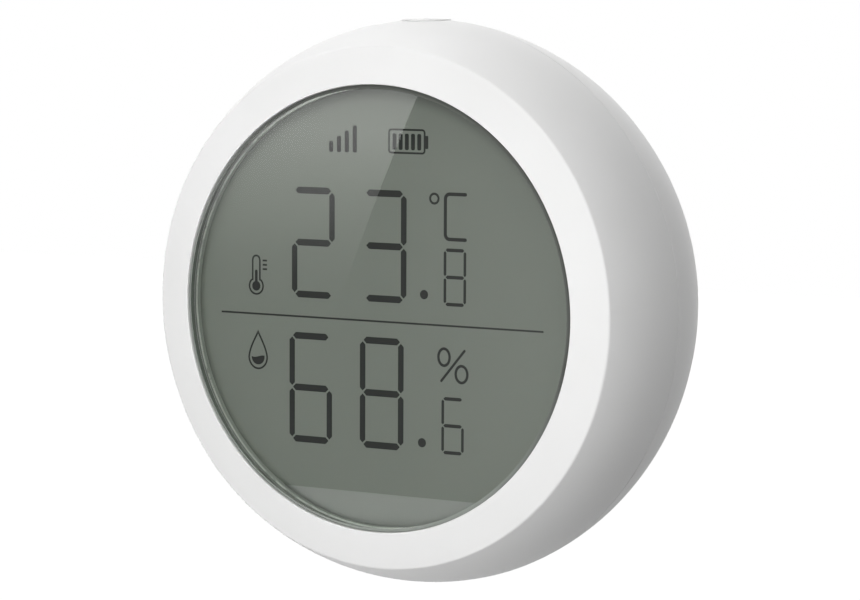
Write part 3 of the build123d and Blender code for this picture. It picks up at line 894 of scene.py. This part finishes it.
@dataclass
class Window:
    """Clear lens with its bevelled rim and its edge, both painted: the rim with light and shade, the edge
    with a reflection of the display.
    """

    sizes: CaseSizes
    bevel: float = 0.4
    bevel_round: float = 0.06
    core: float = 0.4
    side_limit: float = 0.1
    bevel_limit: float = 0.95
    edge_index: int = 1
    rim_index: int = 2
    smooth_angle: float = 20.0

    def build(self, shop: Workshop) -> None:
        """Builds the lens.

        Args:
            shop: makes the object.
        """
        s = self.sizes
        face_end = (s.lens - self.bevel, s.y_lens_front)
        side_start = (s.lens, s.y_lens_front + self.bevel)
        lathe = Lathe(self.core, s.y_lens_front)
        lathe.line(face_end, side_start, (s.lens, s.y_lens_rear), (self.core, s.y_lens_rear))
        lens = lathe.soften([face_end, side_start], self.bevel_round, steps=2).spin_capped()
        for face in lens.faces:
            if abs(face.normal.y) < self.side_limit:
                face.material_index = self.edge_index
            elif abs(face.normal.y) < self.bevel_limit:
                face.material_index = self.rim_index
        paint = [shop.palette.lens, shop.palette.lens_edge_painted_reflection, shop.palette.lens_rim_painted_light_and_shade]
        piece = shop.finish("window_lens", lens, paint, Body.SENSOR_UNIT, self.smooth_angle)
        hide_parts("display_lens")


@dataclass
class Button:
    """Crowned button that stands on the parting line at the top, drawn along Y and turned upright."""

    sizes: CaseSizes
    radius: float = 2.85
    flange: float = 3.6
    stem: float = 1.2
    core: float = 0.05
    cap_edge: float = 33.02 - HAIR
    crown: float = 0.1
    crown_bow: float = 0.03
    crown_steps: int = 12
    rim_drop: float = 0.02
    rim_round: float = 0.12
    flange_top: float = 30.69
    flange_thickness: float = 0.75
    stem_length: float = 3.3

    def build(self, shop: Workshop) -> None:
        """Builds the button.

        Args:
            shop: makes the object.
        """
        low = self.flange_top - self.flange_thickness
        foot = low - self.stem_length
        rim = (self.radius, self.cap_edge - self.rim_drop)
        lathe = Lathe(self.core, self.cap_edge + self.crown).arc(rim, self.crown_bow, self.crown_steps)
        lathe.line((self.radius, self.flange_top), (self.flange, self.flange_top), (self.flange, low))
        lathe.line((self.stem, low), (self.stem, foot), (self.core, foot))
        cap = lathe.soften([rim], self.rim_round, steps=5).spin_capped(steps=96)
        upright = Matrix.Translation((0, self.sizes.y_button, 0)) @ Matrix.Rotation(radians(90), 4, "X")
        bmesh.ops.transform(cap, matrix=upright, verts=cap.verts)
        piece = shop.finish("push_button", cap, [shop.palette.button], Body.BUTTON)
        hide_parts("top_button")


@dataclass
class WallSide:
    """Domed back cover and the foam pad in its recess."""

    sizes: CaseSizes
    dome_bow: float = 0.91
    edge_round: float = 0.12
    centre_hole: float = 0.4
    pad_depth: float = 0.8
    pad_gap: float = 0.15
    pad_core: float = 0.3
    pad_round: float = 0.15

    def cover(self) -> Lathe:
        """Section of the back cover with its spigot and the recess for the pad."""
        s = self.sizes
        rim = (s.neck, s.y_neck + s.cover_gap)
        recess = s.pad + self.pad_gap
        lathe = Lathe(s.spigot, rim[1]).line(rim).arc((s.back_flat, 0), self.dome_bow)
        lathe.line((recess, 0), (recess, -self.pad_depth), (self.centre_hole, -self.pad_depth))
        lathe.line((self.centre_hole, s.y_cover_inside), (s.spigot_inner, s.y_cover_inside))
        lathe.line((s.spigot_inner, s.y_spigot), (s.spigot, s.y_spigot)).close()
        return lathe.soften([rim, (s.back_flat, 0), (recess, 0)], self.edge_round, steps=3)

    def pad(self) -> Lathe:
        """Section of the foam pad."""
        edge = (self.sizes.pad, 0)
        lathe = Lathe(self.pad_core, -self.pad_depth)
        lathe.line((self.sizes.pad, -self.pad_depth), edge, (self.pad_core, 0))
        return lathe.soften([edge], self.pad_round)

    def build(self, shop: Workshop) -> None:
        """Builds the cover and the pad.

        Args:
            shop: makes the objects.
        """
        piece = shop.finish("wall_cover_shell", self.cover().spin(), [shop.palette.shell], Body.WALL_COVER)
        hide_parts("back_cover")
        disc = self.pad().spin_capped(steps=128)
        foam = shop.finish("foam_pad", disc, [shop.palette.foam], Body.WALL_COVER)
        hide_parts("adhesive_pad")


# What the display shows


class Print:
    """Flat ink shapes of the display, all at one depth, gathered in one mesh in millimetres."""

    def __init__(self, origin: Place, thickness: float) -> None:
        """Starts an empty print.

        Args:
            origin: place of the artwork's origin, on the ink's front face.
            thickness: how far it goes back.
        """
        self.mesh = bmesh.new()
        self.origin = Vector(origin)
        self.thickness = thickness

    def circle(self, segments: int, radius: float) -> list[Vert]:
        """Draws a filled circle in XY and returns its vertices."""
        return bmesh.ops.create_circle(self.mesh, cap_ends=True, segments=segments, radius=radius)["verts"]

    def place(self, verts: list[Vert], x: float, z: float, turn: float = 0.0) -> None:
        """Turns a shape drawn in XY to face the viewer, and moves it to its place.

        Args:
            verts: the shape's vertices.
            x: its centre across the display.
            z: its centre up the display.
            turn: turn in the display's plane, in radians.
        """
        upright = Matrix.Rotation(radians(90), 4, "X")
        spot = Matrix.Translation(self.origin + Vector((x, 0, z)))
        bmesh.ops.transform(self.mesh, matrix=spot @ upright @ Matrix.Rotation(turn, 4, "Z"), verts=verts)

    def hollow(self, verts: list[Vert], line: float) -> None:
        """Keeps only an outline of a filled shape.

        Args:
            verts: the shape's vertices.
            line: width of the outline, or 0 to leave the shape filled.
        """
        if not line:
            return
        face = next(face for face in verts[0].link_faces if all(vert in face.verts for vert in verts))
        bmesh.ops.inset_region(
            self.mesh, faces=[face], thickness=line, use_boundary=True, use_even_offset=True
        )
        bmesh.ops.delete(self.mesh, geom=[face], context="FACES_ONLY")

    def cut_right_of(self, x: float) -> None:
        """Takes away all ink to the right of a place along X, in the object's own frame."""
        inked = self.mesh.verts[:] + self.mesh.edges[:] + self.mesh.faces[:]
        bmesh.ops.bisect_plane(
            self.mesh, geom=inked, dist=NEAR_PLANE, plane_co=(x, 0, 0), plane_no=(1, 0, 0), clear_outer=True
        )

    def solid(self) -> Mesh:
        """Gives the flat shapes their thickness and returns the mesh."""
        for face in self.mesh.faces:
            if face.normal.y > 0:
                face.normal_flip()
        made = bmesh.ops.extrude_face_region(self.mesh, geom=self.mesh.faces[:])["geom"]
        backs = [item for item in made if isinstance(item, Vert)]
        bmesh.ops.translate(self.mesh, verts=backs, vec=(0, self.thickness, 0))
        bmesh.ops.recalc_face_normals(self.mesh, faces=self.mesh.faces)
        return self.mesh


@dataclass(frozen=True)
class Disc:
    """Circle, or an ellipse where it has its own half height. It is filled unless it has a line."""

    x: float
    z: float
    radius: float
    half_height: float = 0.0
    line: float = 0.0

    def draw(self, ink: Print) -> None:
        """Draws the disc."""
        made = ink.circle(40, self.radius)
        if self.half_height:
            bmesh.ops.scale(ink.mesh, vec=(1, self.half_height / self.radius, 1), verts=made)
        ink.place(made, self.x, self.z)
        ink.hollow(made, self.line)


@dataclass(frozen=True)
class Block:
    """Rectangle with rounded corners. It is filled unless it has a line."""

    x: float
    z: float
    width: float
    height: float
    corner: float = 0.0
    turn: float = 0.0
    line: float = 0.0

    def draw(self, ink: Print) -> None:
        """Draws the block."""
        made = bmesh.ops.create_grid(ink.mesh, x_segments=1, y_segments=1, size=0.5)["verts"]
        bmesh.ops.scale(ink.mesh, vec=(self.width, self.height, 1), verts=made)
        if self.corner:
            rounded = bmesh.ops.bevel(
                ink.mesh, geom=made, affect="VERTICES", offset=self.corner, segments=6, profile=0.5,
                material=-1,
            )
            made = list({vert for face in rounded["faces"] for vert in face.verts} | set(rounded["verts"]))
        ink.place(made, self.x, self.z, self.turn)
        ink.hollow(made, self.line)


@dataclass(frozen=True)
class Stroke:
    """Length and thickness of a segment of a digit: a bar with both ends cut to a blunt point."""

    length: float
    thick: float

    def draw(self, ink: Print, x: float, z: float, upright: bool) -> None:
        """Draws the stroke.

        Args:
            ink: the print to draw on.
            x: its centre across the display.
            z: its centre up the display.
            upright: stands up, or else lies level.
        """
        made = ink.circle(6, self.length / 2)
        for vert in made:
            reach = 0.0 if abs(vert.co.x) < TOUCH else self.thick / 2
            across = reach if vert.co.x > 0 else -reach
            end = self.length / 2 - reach
            vert.co = (across, end if vert.co.y > 0 else -end, 0)
        ink.place(made, x, z, 0.0 if upright else radians(90))


@dataclass(frozen=True)
class DigitStyle:
    """Sizes of a seven-segment digit, from centre line to centre line, and its two kinds of stroke."""

    width: float
    half_height: float
    level: Stroke
    upright: Stroke


LARGE_DIGIT = DigitStyle(5.15, 6.055, Stroke(4.9, 0.78), Stroke(5.7, 0.735))
SMALL_DIGIT = DigitStyle(2.6, 3.08, Stroke(2.42, 0.39), Stroke(2.85, 0.335))


@dataclass(frozen=True)
class Digit:
    """One digit of a reading and the place of its centre."""

    value: int
    x: float
    z: float
    style: DigitStyle = LARGE_DIGIT

    def draw(self, ink: Print) -> None:
        """Draws the digit's segments."""
        half, tall = self.style.width / 2, self.style.half_height
        for name in DIGIT_SEGMENTS[self.value]:
            part = Segment(name)
            if part in (Segment.TOP, Segment.MIDDLE, Segment.BOTTOM):
                lift = {Segment.TOP: tall, Segment.MIDDLE: 0.0, Segment.BOTTOM: -tall}[part]
                self.style.level.draw(ink, self.x, self.z + lift, False)
            else:
                side = half if part in (Segment.UPPER_RIGHT, Segment.LOWER_RIGHT) else -half
                lift = tall / 2 if part in (Segment.UPPER_RIGHT, Segment.UPPER_LEFT) else -tall / 2
                self.style.upright.draw(ink, self.x + side, self.z + lift, True)


@dataclass(frozen=True)
class Readings:
    """Both readings with their decimal points."""

    digits: tuple[Digit, ...] = (
        Digit(2, -9.40, 7.21),
        Digit(3, 0.29, 7.21),
        Digit(6, -9.74, -9.76),
        Digit(8, -0.04, -9.76),
        Digit(8, 9.64, 4.05, SMALL_DIGIT),
        Digit(6, 9.43, -12.88, SMALL_DIGIT),
    )
    decimal_points: tuple[Disc, ...] = (Disc(5.59, 1.93, 0.53), Disc(5.39, -15.07, 0.53))

    def draw(self, ink: Print) -> None:
        """Draws the readings."""
        for shape in self.digits + self.decimal_points:
            shape.draw(ink)


@dataclass(frozen=True)
class Units:
    """Degree sign, C and per cent sign."""

    degree: Disc = Disc(6.9, 12.9, 0.68, line=0.26)
    letter: Block = Block(10.53, 10.91, 4.74, 5.52, 0.75, line=0.4)
    letter_end: float = 11.05
    end_discs: tuple[Disc, ...] = (Disc(10.97, 13.47, 0.2), Disc(10.97, 8.35, 0.2))
    percent: tuple[Disc | Block, ...] = (
        Disc(8.26, -5.065, 0.89, 1.125, 0.31),
        Disc(10.57, -6.91, 0.92, 1.11, 0.31),
        Block(9.43, -6.0, 0.29, 4.95, 0.12, -atan2(3.16, 3.74)),
    )

    def draw(self, ink: Print) -> None:
        """Draws the units. The C is a hollow block whose right side is cut off, with its ends made round."""
        self.degree.draw(ink)
        self.letter.draw(ink)
        ink.cut_right_of(self.letter_end)
        for shape in self.end_discs + self.percent:
            shape.draw(ink)


@dataclass(frozen=True)
class SignalBars:
    """Row of upright bars that grow to the right."""

    heights: tuple[float, ...] = (1.26, 1.87, 2.49, 3.11)
    first_x: float = -6.95
    step: float = 1.07
    foot: float = 17.82
    width: float = 0.56
    corner: float = 0.18

    def draw(self, ink: Print) -> None:
        """Draws the bars."""
        for number, height in enumerate(self.heights):
            x = self.first_x + self.step * number
            Block(x, self.foot + height / 2, self.width, height, self.corner).draw(ink)


@dataclass(frozen=True)
class BatteryIcon:
    """Battery outline with its terminal and a row of charge bars."""

    outline: Block = Block(3.23, 19.27, 4.94, 2.86, 0.42, line=0.22)
    terminal: Block = Block(5.87, 19.22, 0.4, 1.47, 0.1)
    bars: int = 5
    bar: Block = Block(1.6, 19.22, 0.51, 1.86, 0.17)
    step: float = 0.82

    def draw(self, ink: Print) -> None:
        """Draws the battery."""
        self.outline.draw(ink)
        for number in range(self.bars):
            replace(self.bar, x=self.bar.x + self.step * number).draw(ink)
        self.terminal.draw(ink)


@dataclass(frozen=True)
class Thermometer:
    """Bulb and round-ended stem in outline, with the liquid inside and three marks beside the stem."""

    x: float = -17.35
    z: float = 1.81
    bulb: float = 1.06
    stem: float = 0.61
    stem_top: float = 3.06
    stem_margin: float = 0.08
    line: float = 0.21
    liquid: tuple[Disc | Block, ...] = (Disc(-17.35, 1.81, 0.57), Block(-17.35, 2.9, 0.36, 1.6, 0.17))
    mark_x: float = -16.14
    mark_width: float = 0.6
    marks: tuple[float, ...] = (4.83, 4.33, 3.82)

    def outline(self, ink: Print) -> list[Vert]:
        """Circle whose upper vertices are drawn up into the stem.

        Args:
            ink: the print to draw on.

        Returns:
            The outline's vertices.
        """
        made = ink.circle(72, self.bulb)
        drawn = [vert for vert in made if vert.co.y > 0 and abs(vert.co.x) < self.stem]
        widest = max(abs(vert.co.x) for vert in drawn)
        for vert in drawn:
            vert.co.x *= self.stem / widest
            vert.co.y = self.stem_top + max(self.stem * self.stem - vert.co.x * vert.co.x, 0) ** 0.5
        for vert in made:
            if 0 < vert.co.y < self.bulb and abs(vert.co.x) < self.stem + self.stem_margin:
                vert.co.x = self.stem if vert.co.x > 0 else -self.stem
        return made

    def draw(self, ink: Print) -> None:
        """Draws the thermometer."""
        outline = self.outline(ink)
        ink.place(outline, self.x, self.z)
        ink.hollow(outline, self.line)
        for shape in self.liquid:
            shape.draw(ink)
        for lift in self.marks:
            Block(self.mark_x, lift, self.mark_width, self.line).draw(ink)


@dataclass(frozen=True)
class Drop:
    """Teardrop in outline with water in it."""

    x: float = -17.1
    z: float = -6.56
    half_width: float = 1.38
    below: float = 1.47
    above: float = 3.2
    narrowing: float = 0.24
    line: float = 0.21
    water: float = 0.9
    water_line: float = 0.08
    wave: float = 0.11
    wave_rate: float = 2.6
    wave_start: float = 0.1

    def outline(self, ink: Print) -> list[Vert]:
        """Circle whose upper half is drawn up to a point.

        Args:
            ink: the print to draw on.

        Returns:
            The outline's vertices.
        """
        made = ink.circle(64, 1)
        for vert in made:
            rise = atan2(vert.co.y, abs(vert.co.x)) / (pi / 2)
            if rise > 0:
                vert.co = (self.half_width * vert.co.x * (1 - self.narrowing * rise), self.above * rise, 0)
            else:
                vert.co = (self.half_width * vert.co.x, self.below * vert.co.y, 0)
        return made

    def waves(self, ink: Print) -> list[Vert]:
        """Lower half of a smaller circle under a wavy top.

        Args:
            ink: the print to draw on.

        Returns:
            The water's vertices.
        """
        made = ink.circle(48, self.water)
        for vert in made:
            if vert.co.y > 0:
                vert.co.y = self.water_line + self.wave * sin(self.wave_rate * (vert.co.x - self.wave_start))
        return made

    def draw(self, ink: Print) -> None:
        """Draws the drop."""
        outline = self.outline(ink)
        ink.place(outline, self.x, self.z)
        ink.hollow(outline, self.line)
        ink.place(self.waves(ink), self.x, self.z)


@dataclass(frozen=True)
class DisplayArtwork:
    """Everything that the display shows, as three pieces of ink."""

    origin: Place = (0.077, -23.885, -0.07)
    thickness: float = 0.012
    dividing_line: Block = Block(-0.59, -1.47, 43.37, 0.21)
    smooth_angle: float = 30.0

    def build(self, shop: Workshop) -> None:
        """Builds the ink pieces.

        Args:
            shop: makes the objects.
        """
        pieces = {
            "display_readings": (Readings(),),
            "display_units": (Units(),),
            "display_icons": (SignalBars(), BatteryIcon(), Thermometer(), self.dividing_line, Drop()),
        }
        for name, drawings in pieces.items():
            ink = Print(self.origin, self.thickness)
            for drawing in drawings:
                drawing.draw(ink)
            shop.finish(name, ink.solid(), [shop.palette.print_ink], Body.SENSOR_UNIT, self.smooth_angle)


# The parts inside


@dataclass(frozen=True)
class InnerParts:
    """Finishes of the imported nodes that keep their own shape, each with the nodes that wear it."""

    finishes: tuple[tuple[Finish, tuple[str, ...]], ...] = (
        (
            MouldedPlastic(
                "board_mask", (0.012, 0.09, 0.035), (0.018, 0.13, 0.05), 0.35, 3000.0, (0.00001, 0.3), 900.0
            ),
            ("main_board", "radio_module", "sensor_board"),
        ),
        (
            MouldedPlastic("chip_epoxy", (0.012, 0.012, 0.013), (0.022, 0.022, 0.024), 0.55),
            ("display_driver_chip", "switch_housing"),
        ),
        (
            PlainMetal("tinned_steel", (0.58, 0.58, 0.57), (0.7, 0.7, 0.69)),
            ("radio_shield_can", "switch_bracket"),
        ),
        (
            PlainMetal("spring_nickel", (0.62, 0.6, 0.56), (0.74, 0.72, 0.68), 0.26),
            ("contact_positive", "contact_negative", "contact_link"),
        ),
        (PlainMetal("capacitor_can", (0.62, 0.63, 0.64), (0.75, 0.76, 0.77), 0.3), ("supply_capacitor",)),
        (
            PlainMetal("screw_zinc", (0.5, 0.5, 0.49), (0.66, 0.66, 0.64), 0.35),
            ("board_screws", "tray_screws"),
        ),
        (
            MouldedPlastic("carrier_nylon", (0.78, 0.78, 0.76), (0.82, 0.82, 0.8), 0.5),
            ("lcd_carrier", "battery_tray"),
        ),
        (MouldedPlastic("strip_rubber", (0.34, 0.33, 0.3), (0.42, 0.4, 0.37), 0.7), ("elastomer_connector",)),
        (MouldedPlastic("plunger_grey", (0.06, 0.06, 0.06), (0.09, 0.09, 0.09), 0.5), ("switch_plunger",)),
        (MouldedPlastic("sensor_ceramic", (0.7, 0.7, 0.68), (0.8, 0.8, 0.78), 0.6), ("humidity_sensor",)),
        (MouldedPlastic("reflector_foil", (0.5, 0.55, 0.49), (0.54, 0.59, 0.53), 0.4), ("lcd_reflector",)),
        (ClearSheet("adhesive_film", (0.99, 0.995, 0.99), 1.02), ("lens_adhesive",)),
        (ClearSheet("display_glass", (0.95, 0.98, 0.955), 1.52), ("lcd_rear_glass",)),
        (
            PrintedWrap("cell_wrap_upper", (0.03, 0.035, 0.045), (0.45, 0.3, 0.12), 12.0),
            ("battery_cell_upper",),
        ),
        (
            PrintedWrap("cell_wrap_lower", (0.45, 0.3, 0.12), (0.03, 0.035, 0.045), -12.0),
            ("battery_cell_lower",),
        ),
        (WovenMesh("dust_mesh_inner", (0.03, 0.03, 0.03), (0.12, 0.12, 0.12)), ("vent_filter",)),
    )

    def dress(self, frame: dict, palette: Palette) -> None:
        """Gives every node that stays its material.

        Args:
            frame: what the frame's load gave.
            palette: finishes shared with the new pieces.
        """
        chosen = {"lcd_polariser": palette.film, "lcd_front_glass": palette.ledge_glass}
        for finish, names in self.finishes:
            chosen |= dict.fromkeys(names, finish.material())
        for name, material in chosen.items():
            worn = frame["nodes"][name].data.materials
            worn.clear()
            worn.append(material)
            log.info("%s: dressed in %s", name, material.name)


# The studio, in metres


@dataclass(frozen=True)
class SoftBox:
    """Square area lamp aimed at the object."""

    name: str
    place: Place
    side: float
    power: float
    aim: Place = (0, -0.012, 0)

    def build(self) -> None:
        """Adds the lamp, which mirrors don't show."""
        lamp = bpy.data.lights.new(self.name, "AREA")
        lamp.shape = "RECTANGLE"
        lamp.size = self.side
        lamp.size_y = self.side
        lamp.energy = self.power
        holder = bpy.data.objects.new(self.name, lamp)
        holder.location = self.place
        holder.rotation_euler = (Vector(self.aim) - Vector(self.place)).to_track_quat("-Z", "Y").to_euler()
        bpy.context.scene.collection.objects.link(holder)
        holder.visible_glossy = False


def studio_prop(name: str, sheet: Mesh, finish: Material) -> bpy.types.Object:
    """Makes an object of the studio.

    Args:
        name: the object's name.
        sheet: its mesh, used up here.
        finish: its material.

    Returns:
        The object.
    """
    made = new_object(name, sheet, [finish])
    return made


@dataclass(frozen=True)
class Floor:
    """Pale floor well below the object, which keeps its soft shadow."""

    z: float = -0.3
    size: float = 3.0
    tone: float = 0.22
    seen_glow: float = 0.95
    roughness: float = 0.9

    def build(self) -> None:
        """Adds the floor."""
        tree = Shader("studio_floor")
        inputs = {"Roughness": self.roughness, "Base Color": (self.tone, self.tone, self.tone, 1)}
        matt = tree.node("ShaderNodeBsdfPrincipled", inputs).outputs["BSDF"]
        lit = tree.node("ShaderNodeAddShader", {0: matt, 1: tree.glow(self.seen_glow)}).outputs["Shader"]
        sheet = bmesh.new()
        place = Matrix.Translation((0, 0, self.z))
        bmesh.ops.create_grid(sheet, x_segments=1, y_segments=1, size=self.size, matrix=place)
        studio_prop("studio_floor", sheet, tree.surface(tree.mix(tree.seen_rays(), matt, lit)))


@dataclass(frozen=True)
class Glare:
    """The dark flag that the lens mirrors, and before it a bright card with one straight edge.

    The flag is a little lighter to the right and fades into the white world at its rim. The card's glow fades
    towards its lower end, and above the part that the photograph's view shows.
    """

    card_y: float = -0.23
    flag_gap: float = 0.004
    flag_centre: Point = (-0.127, -0.023)
    flag_radius: float = 0.18
    flag_core_share: float = 0.62
    flag_lift: float = 0.62
    flag_lift_reach: float = 0.09
    edge_top: Point = (-0.1254, 0.01799)
    edge_low: Point = (-0.1448, -0.02234)
    card_reach: float = 0.1
    card_width: float = 0.13
    card_glow: float = 3.4
    card_fade: Point = (-0.026, 0.0476)
    card_curve: float = 1.7
    card_ebb: Point = (0.055, 0.115)

    def mirror_only(self, name: str, sheet: Mesh, finish: Material) -> None:
        """Makes a card that nothing but mirrors shows.

        Args:
            name: the card's name.
            sheet: its mesh, used up here.
            finish: its material.
        """
        card = studio_prop(name, sheet, finish)
        card.visible_camera = False
        card.visible_diffuse = False
        card.visible_transmission = False
        card.visible_volume_scatter = False
        card.visible_shadow = False

    def flag(self) -> None:
        """Adds the dark flag."""
        across, up = self.flag_centre
        centre = Vector((across, self.card_y - self.flag_gap, up))
        tree = Shader("flag_dark")
        width = (centre.x, centre.x + self.flag_lift_reach)
        lift = tree.ranged(tree.along("X"), width, (0.0, self.flag_lift))
        reach = tree.node("ShaderNodeVectorMath", {0: tree.here(), 1: centre}, operation="DISTANCE")
        span = (self.flag_radius * self.flag_core_share, self.flag_radius)
        rim = tree.ranged(reach.outputs["Value"], span, smooth=True)
        finish = tree.surface(tree.glow(tree.maths("ADD", lift, rim, clamp=True)))
        sheet = bmesh.new()
        place = Matrix.Translation(centre) @ Matrix.Rotation(radians(90), 4, "X")
        bmesh.ops.create_circle(sheet, cap_ends=True, segments=64, radius=self.flag_radius, matrix=place)
        self.mirror_only("flag", sheet, finish)

    def card(self) -> None:
        """Adds the bright card, a sheet that leans with its straight right edge."""
        tree = Shader("card_glow")
        fade = tree.maths("POWER", tree.ranged(tree.along("Z"), self.card_fade), self.card_curve)
        ebb = tree.ranged(tree.along("Z"), self.card_ebb, (1.0, 0.0), smooth=True)
        strength = tree.maths("MULTIPLY", tree.maths("MULTIPLY", fade, self.card_glow), ebb)
        (top_x, top_z), (low_x, low_z) = self.edge_top, self.edge_low
        lean = (top_x - low_x) / (top_z - low_z)
        high, deep = top_z + self.card_reach, low_z - self.card_reach
        corners = (
            (top_x + lean * self.card_reach, high),
            (low_x - lean * self.card_reach, deep),
            (low_x - self.card_width, deep),
            (top_x - self.card_width, high),
        )
        sheet = bmesh.new()
        sheet.faces.new([sheet.verts.new((x, self.card_y, z)) for x, z in corners])
        self.mirror_only("bright_card", sheet, tree.surface(tree.glow(strength)))

    def build(self) -> None:
        """Adds both cards."""
        self.flag()
        self.card()


@dataclass(frozen=True)
class Studio:
    """White studio: world, pale floor, lamps, and the cards that the lens mirrors."""

    fill: float = 0.13
    lamps: tuple[SoftBox, ...] = (
        SoftBox("top_softbox", (0, -0.5448, 0.4848), 0.4, 0.42),
        SoftBox("right_softbox", (0.45, -0.255, 0.5), 0.4, 1.34),
        SoftBox("front_softbox", (-0.045, -0.4575, 0.03), 0.25, 0.7),
        SoftBox("low_front_softbox", (-0.05, -0.455, -0.07), 0.25, 0.79),
        SoftBox("low_right_softbox", (0.37, -0.21, -0.02), 0.25, 0.14),
        SoftBox("top_rear_softbox", (-0.17, 0.1, 0.39), 0.25, 1.1),
        SoftBox("rear_softbox", (-0.15, 0.43, 0.06), 0.3, 1.3),
    )

    def world(self) -> None:
        """White background for the camera and for glass and gloss, and a plain fill on the object."""
        world = bpy.data.worlds.new("studio_world")
        world.use_nodes = True
        tree = Nodes(world.node_tree)
        white = {"Color": (1, 1, 1, 1)}
        fill = tree.node("ShaderNodeBackground", {**white, "Strength": self.fill}).outputs["Background"]
        seen = tree.node("ShaderNodeBackground", {**white, "Strength": 1.0}).outputs["Background"]
        tree.node("ShaderNodeOutputWorld", {"Surface": tree.mix(tree.seen_rays(), fill, seen)})
        bpy.context.scene.world = world

    def build(self) -> None:
        """Sets up the studio."""
        self.world()
        Floor().build()
        Glare().build()
        for lamp in self.lamps:
            lamp.build()


@dataclass(frozen=True)
class View:
    """Camera at the photograph's viewing angle. Its angles are in degrees."""

    azimuth: float = 30.763
    elevation: float = 5.374
    roll: float = 0.228
    focal_pixels: float = 3152.8
    photo_width: int = 860
    sensor_width: float = 36.0
    distance: float = 0.360426
    shift_right: float = 0.0061242
    shift_up: float = 0.0010578
    aim_y: float = -0.025
    clip_start: float = 0.01

    def build(self) -> None:
        """Adds the camera."""
        turn, lift, roll = radians(self.azimuth), radians(self.elevation), radians(self.roll)
        back = Vector((sin(turn) * cos(lift), -cos(turn) * cos(lift), sin(lift)))
        right = Vector((cos(turn), sin(turn), 0))
        up = back.cross(right)
        aim = right * self.shift_right + up * self.shift_up + Vector((0, self.aim_y, 0))
        spot = aim + back * self.distance
        level = right * cos(roll) + up * sin(roll)
        upright = up * cos(roll) - right * sin(roll)
        data = bpy.data.cameras.new("camera")
        data.sensor_fit = "HORIZONTAL"
        data.sensor_width = self.sensor_width
        data.lens = self.focal_pixels * self.sensor_width / self.photo_width
        data.clip_start = self.clip_start
        camera = bpy.data.objects.new("camera", data)
        camera.matrix_world = Matrix.Translation(spot) @ Matrix((level, upright, back)).transposed().to_4x4()
        bpy.context.scene.collection.objects.link(camera)
        bpy.context.scene.camera = camera


def main() -> None:
    """Builds the pieces in order, from the frame outwards."""
    logging.basicConfig(level=logging.INFO, format="%(name)s: %(message)s")
    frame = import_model()
    bpy.context.scene.view_settings.view_transform = "Standard"
    palette = Palette()
    shop = Workshop(palette)
    sizes = CaseSizes()
    for piece in (Case(sizes), Window(sizes), DisplayArtwork(), Button(sizes), WallSide(sizes)):
        piece.build(shop)
    InnerParts().dress(frame, palette)
    Studio().build()
    View().build()


if __name__ == "__main__":
    main()
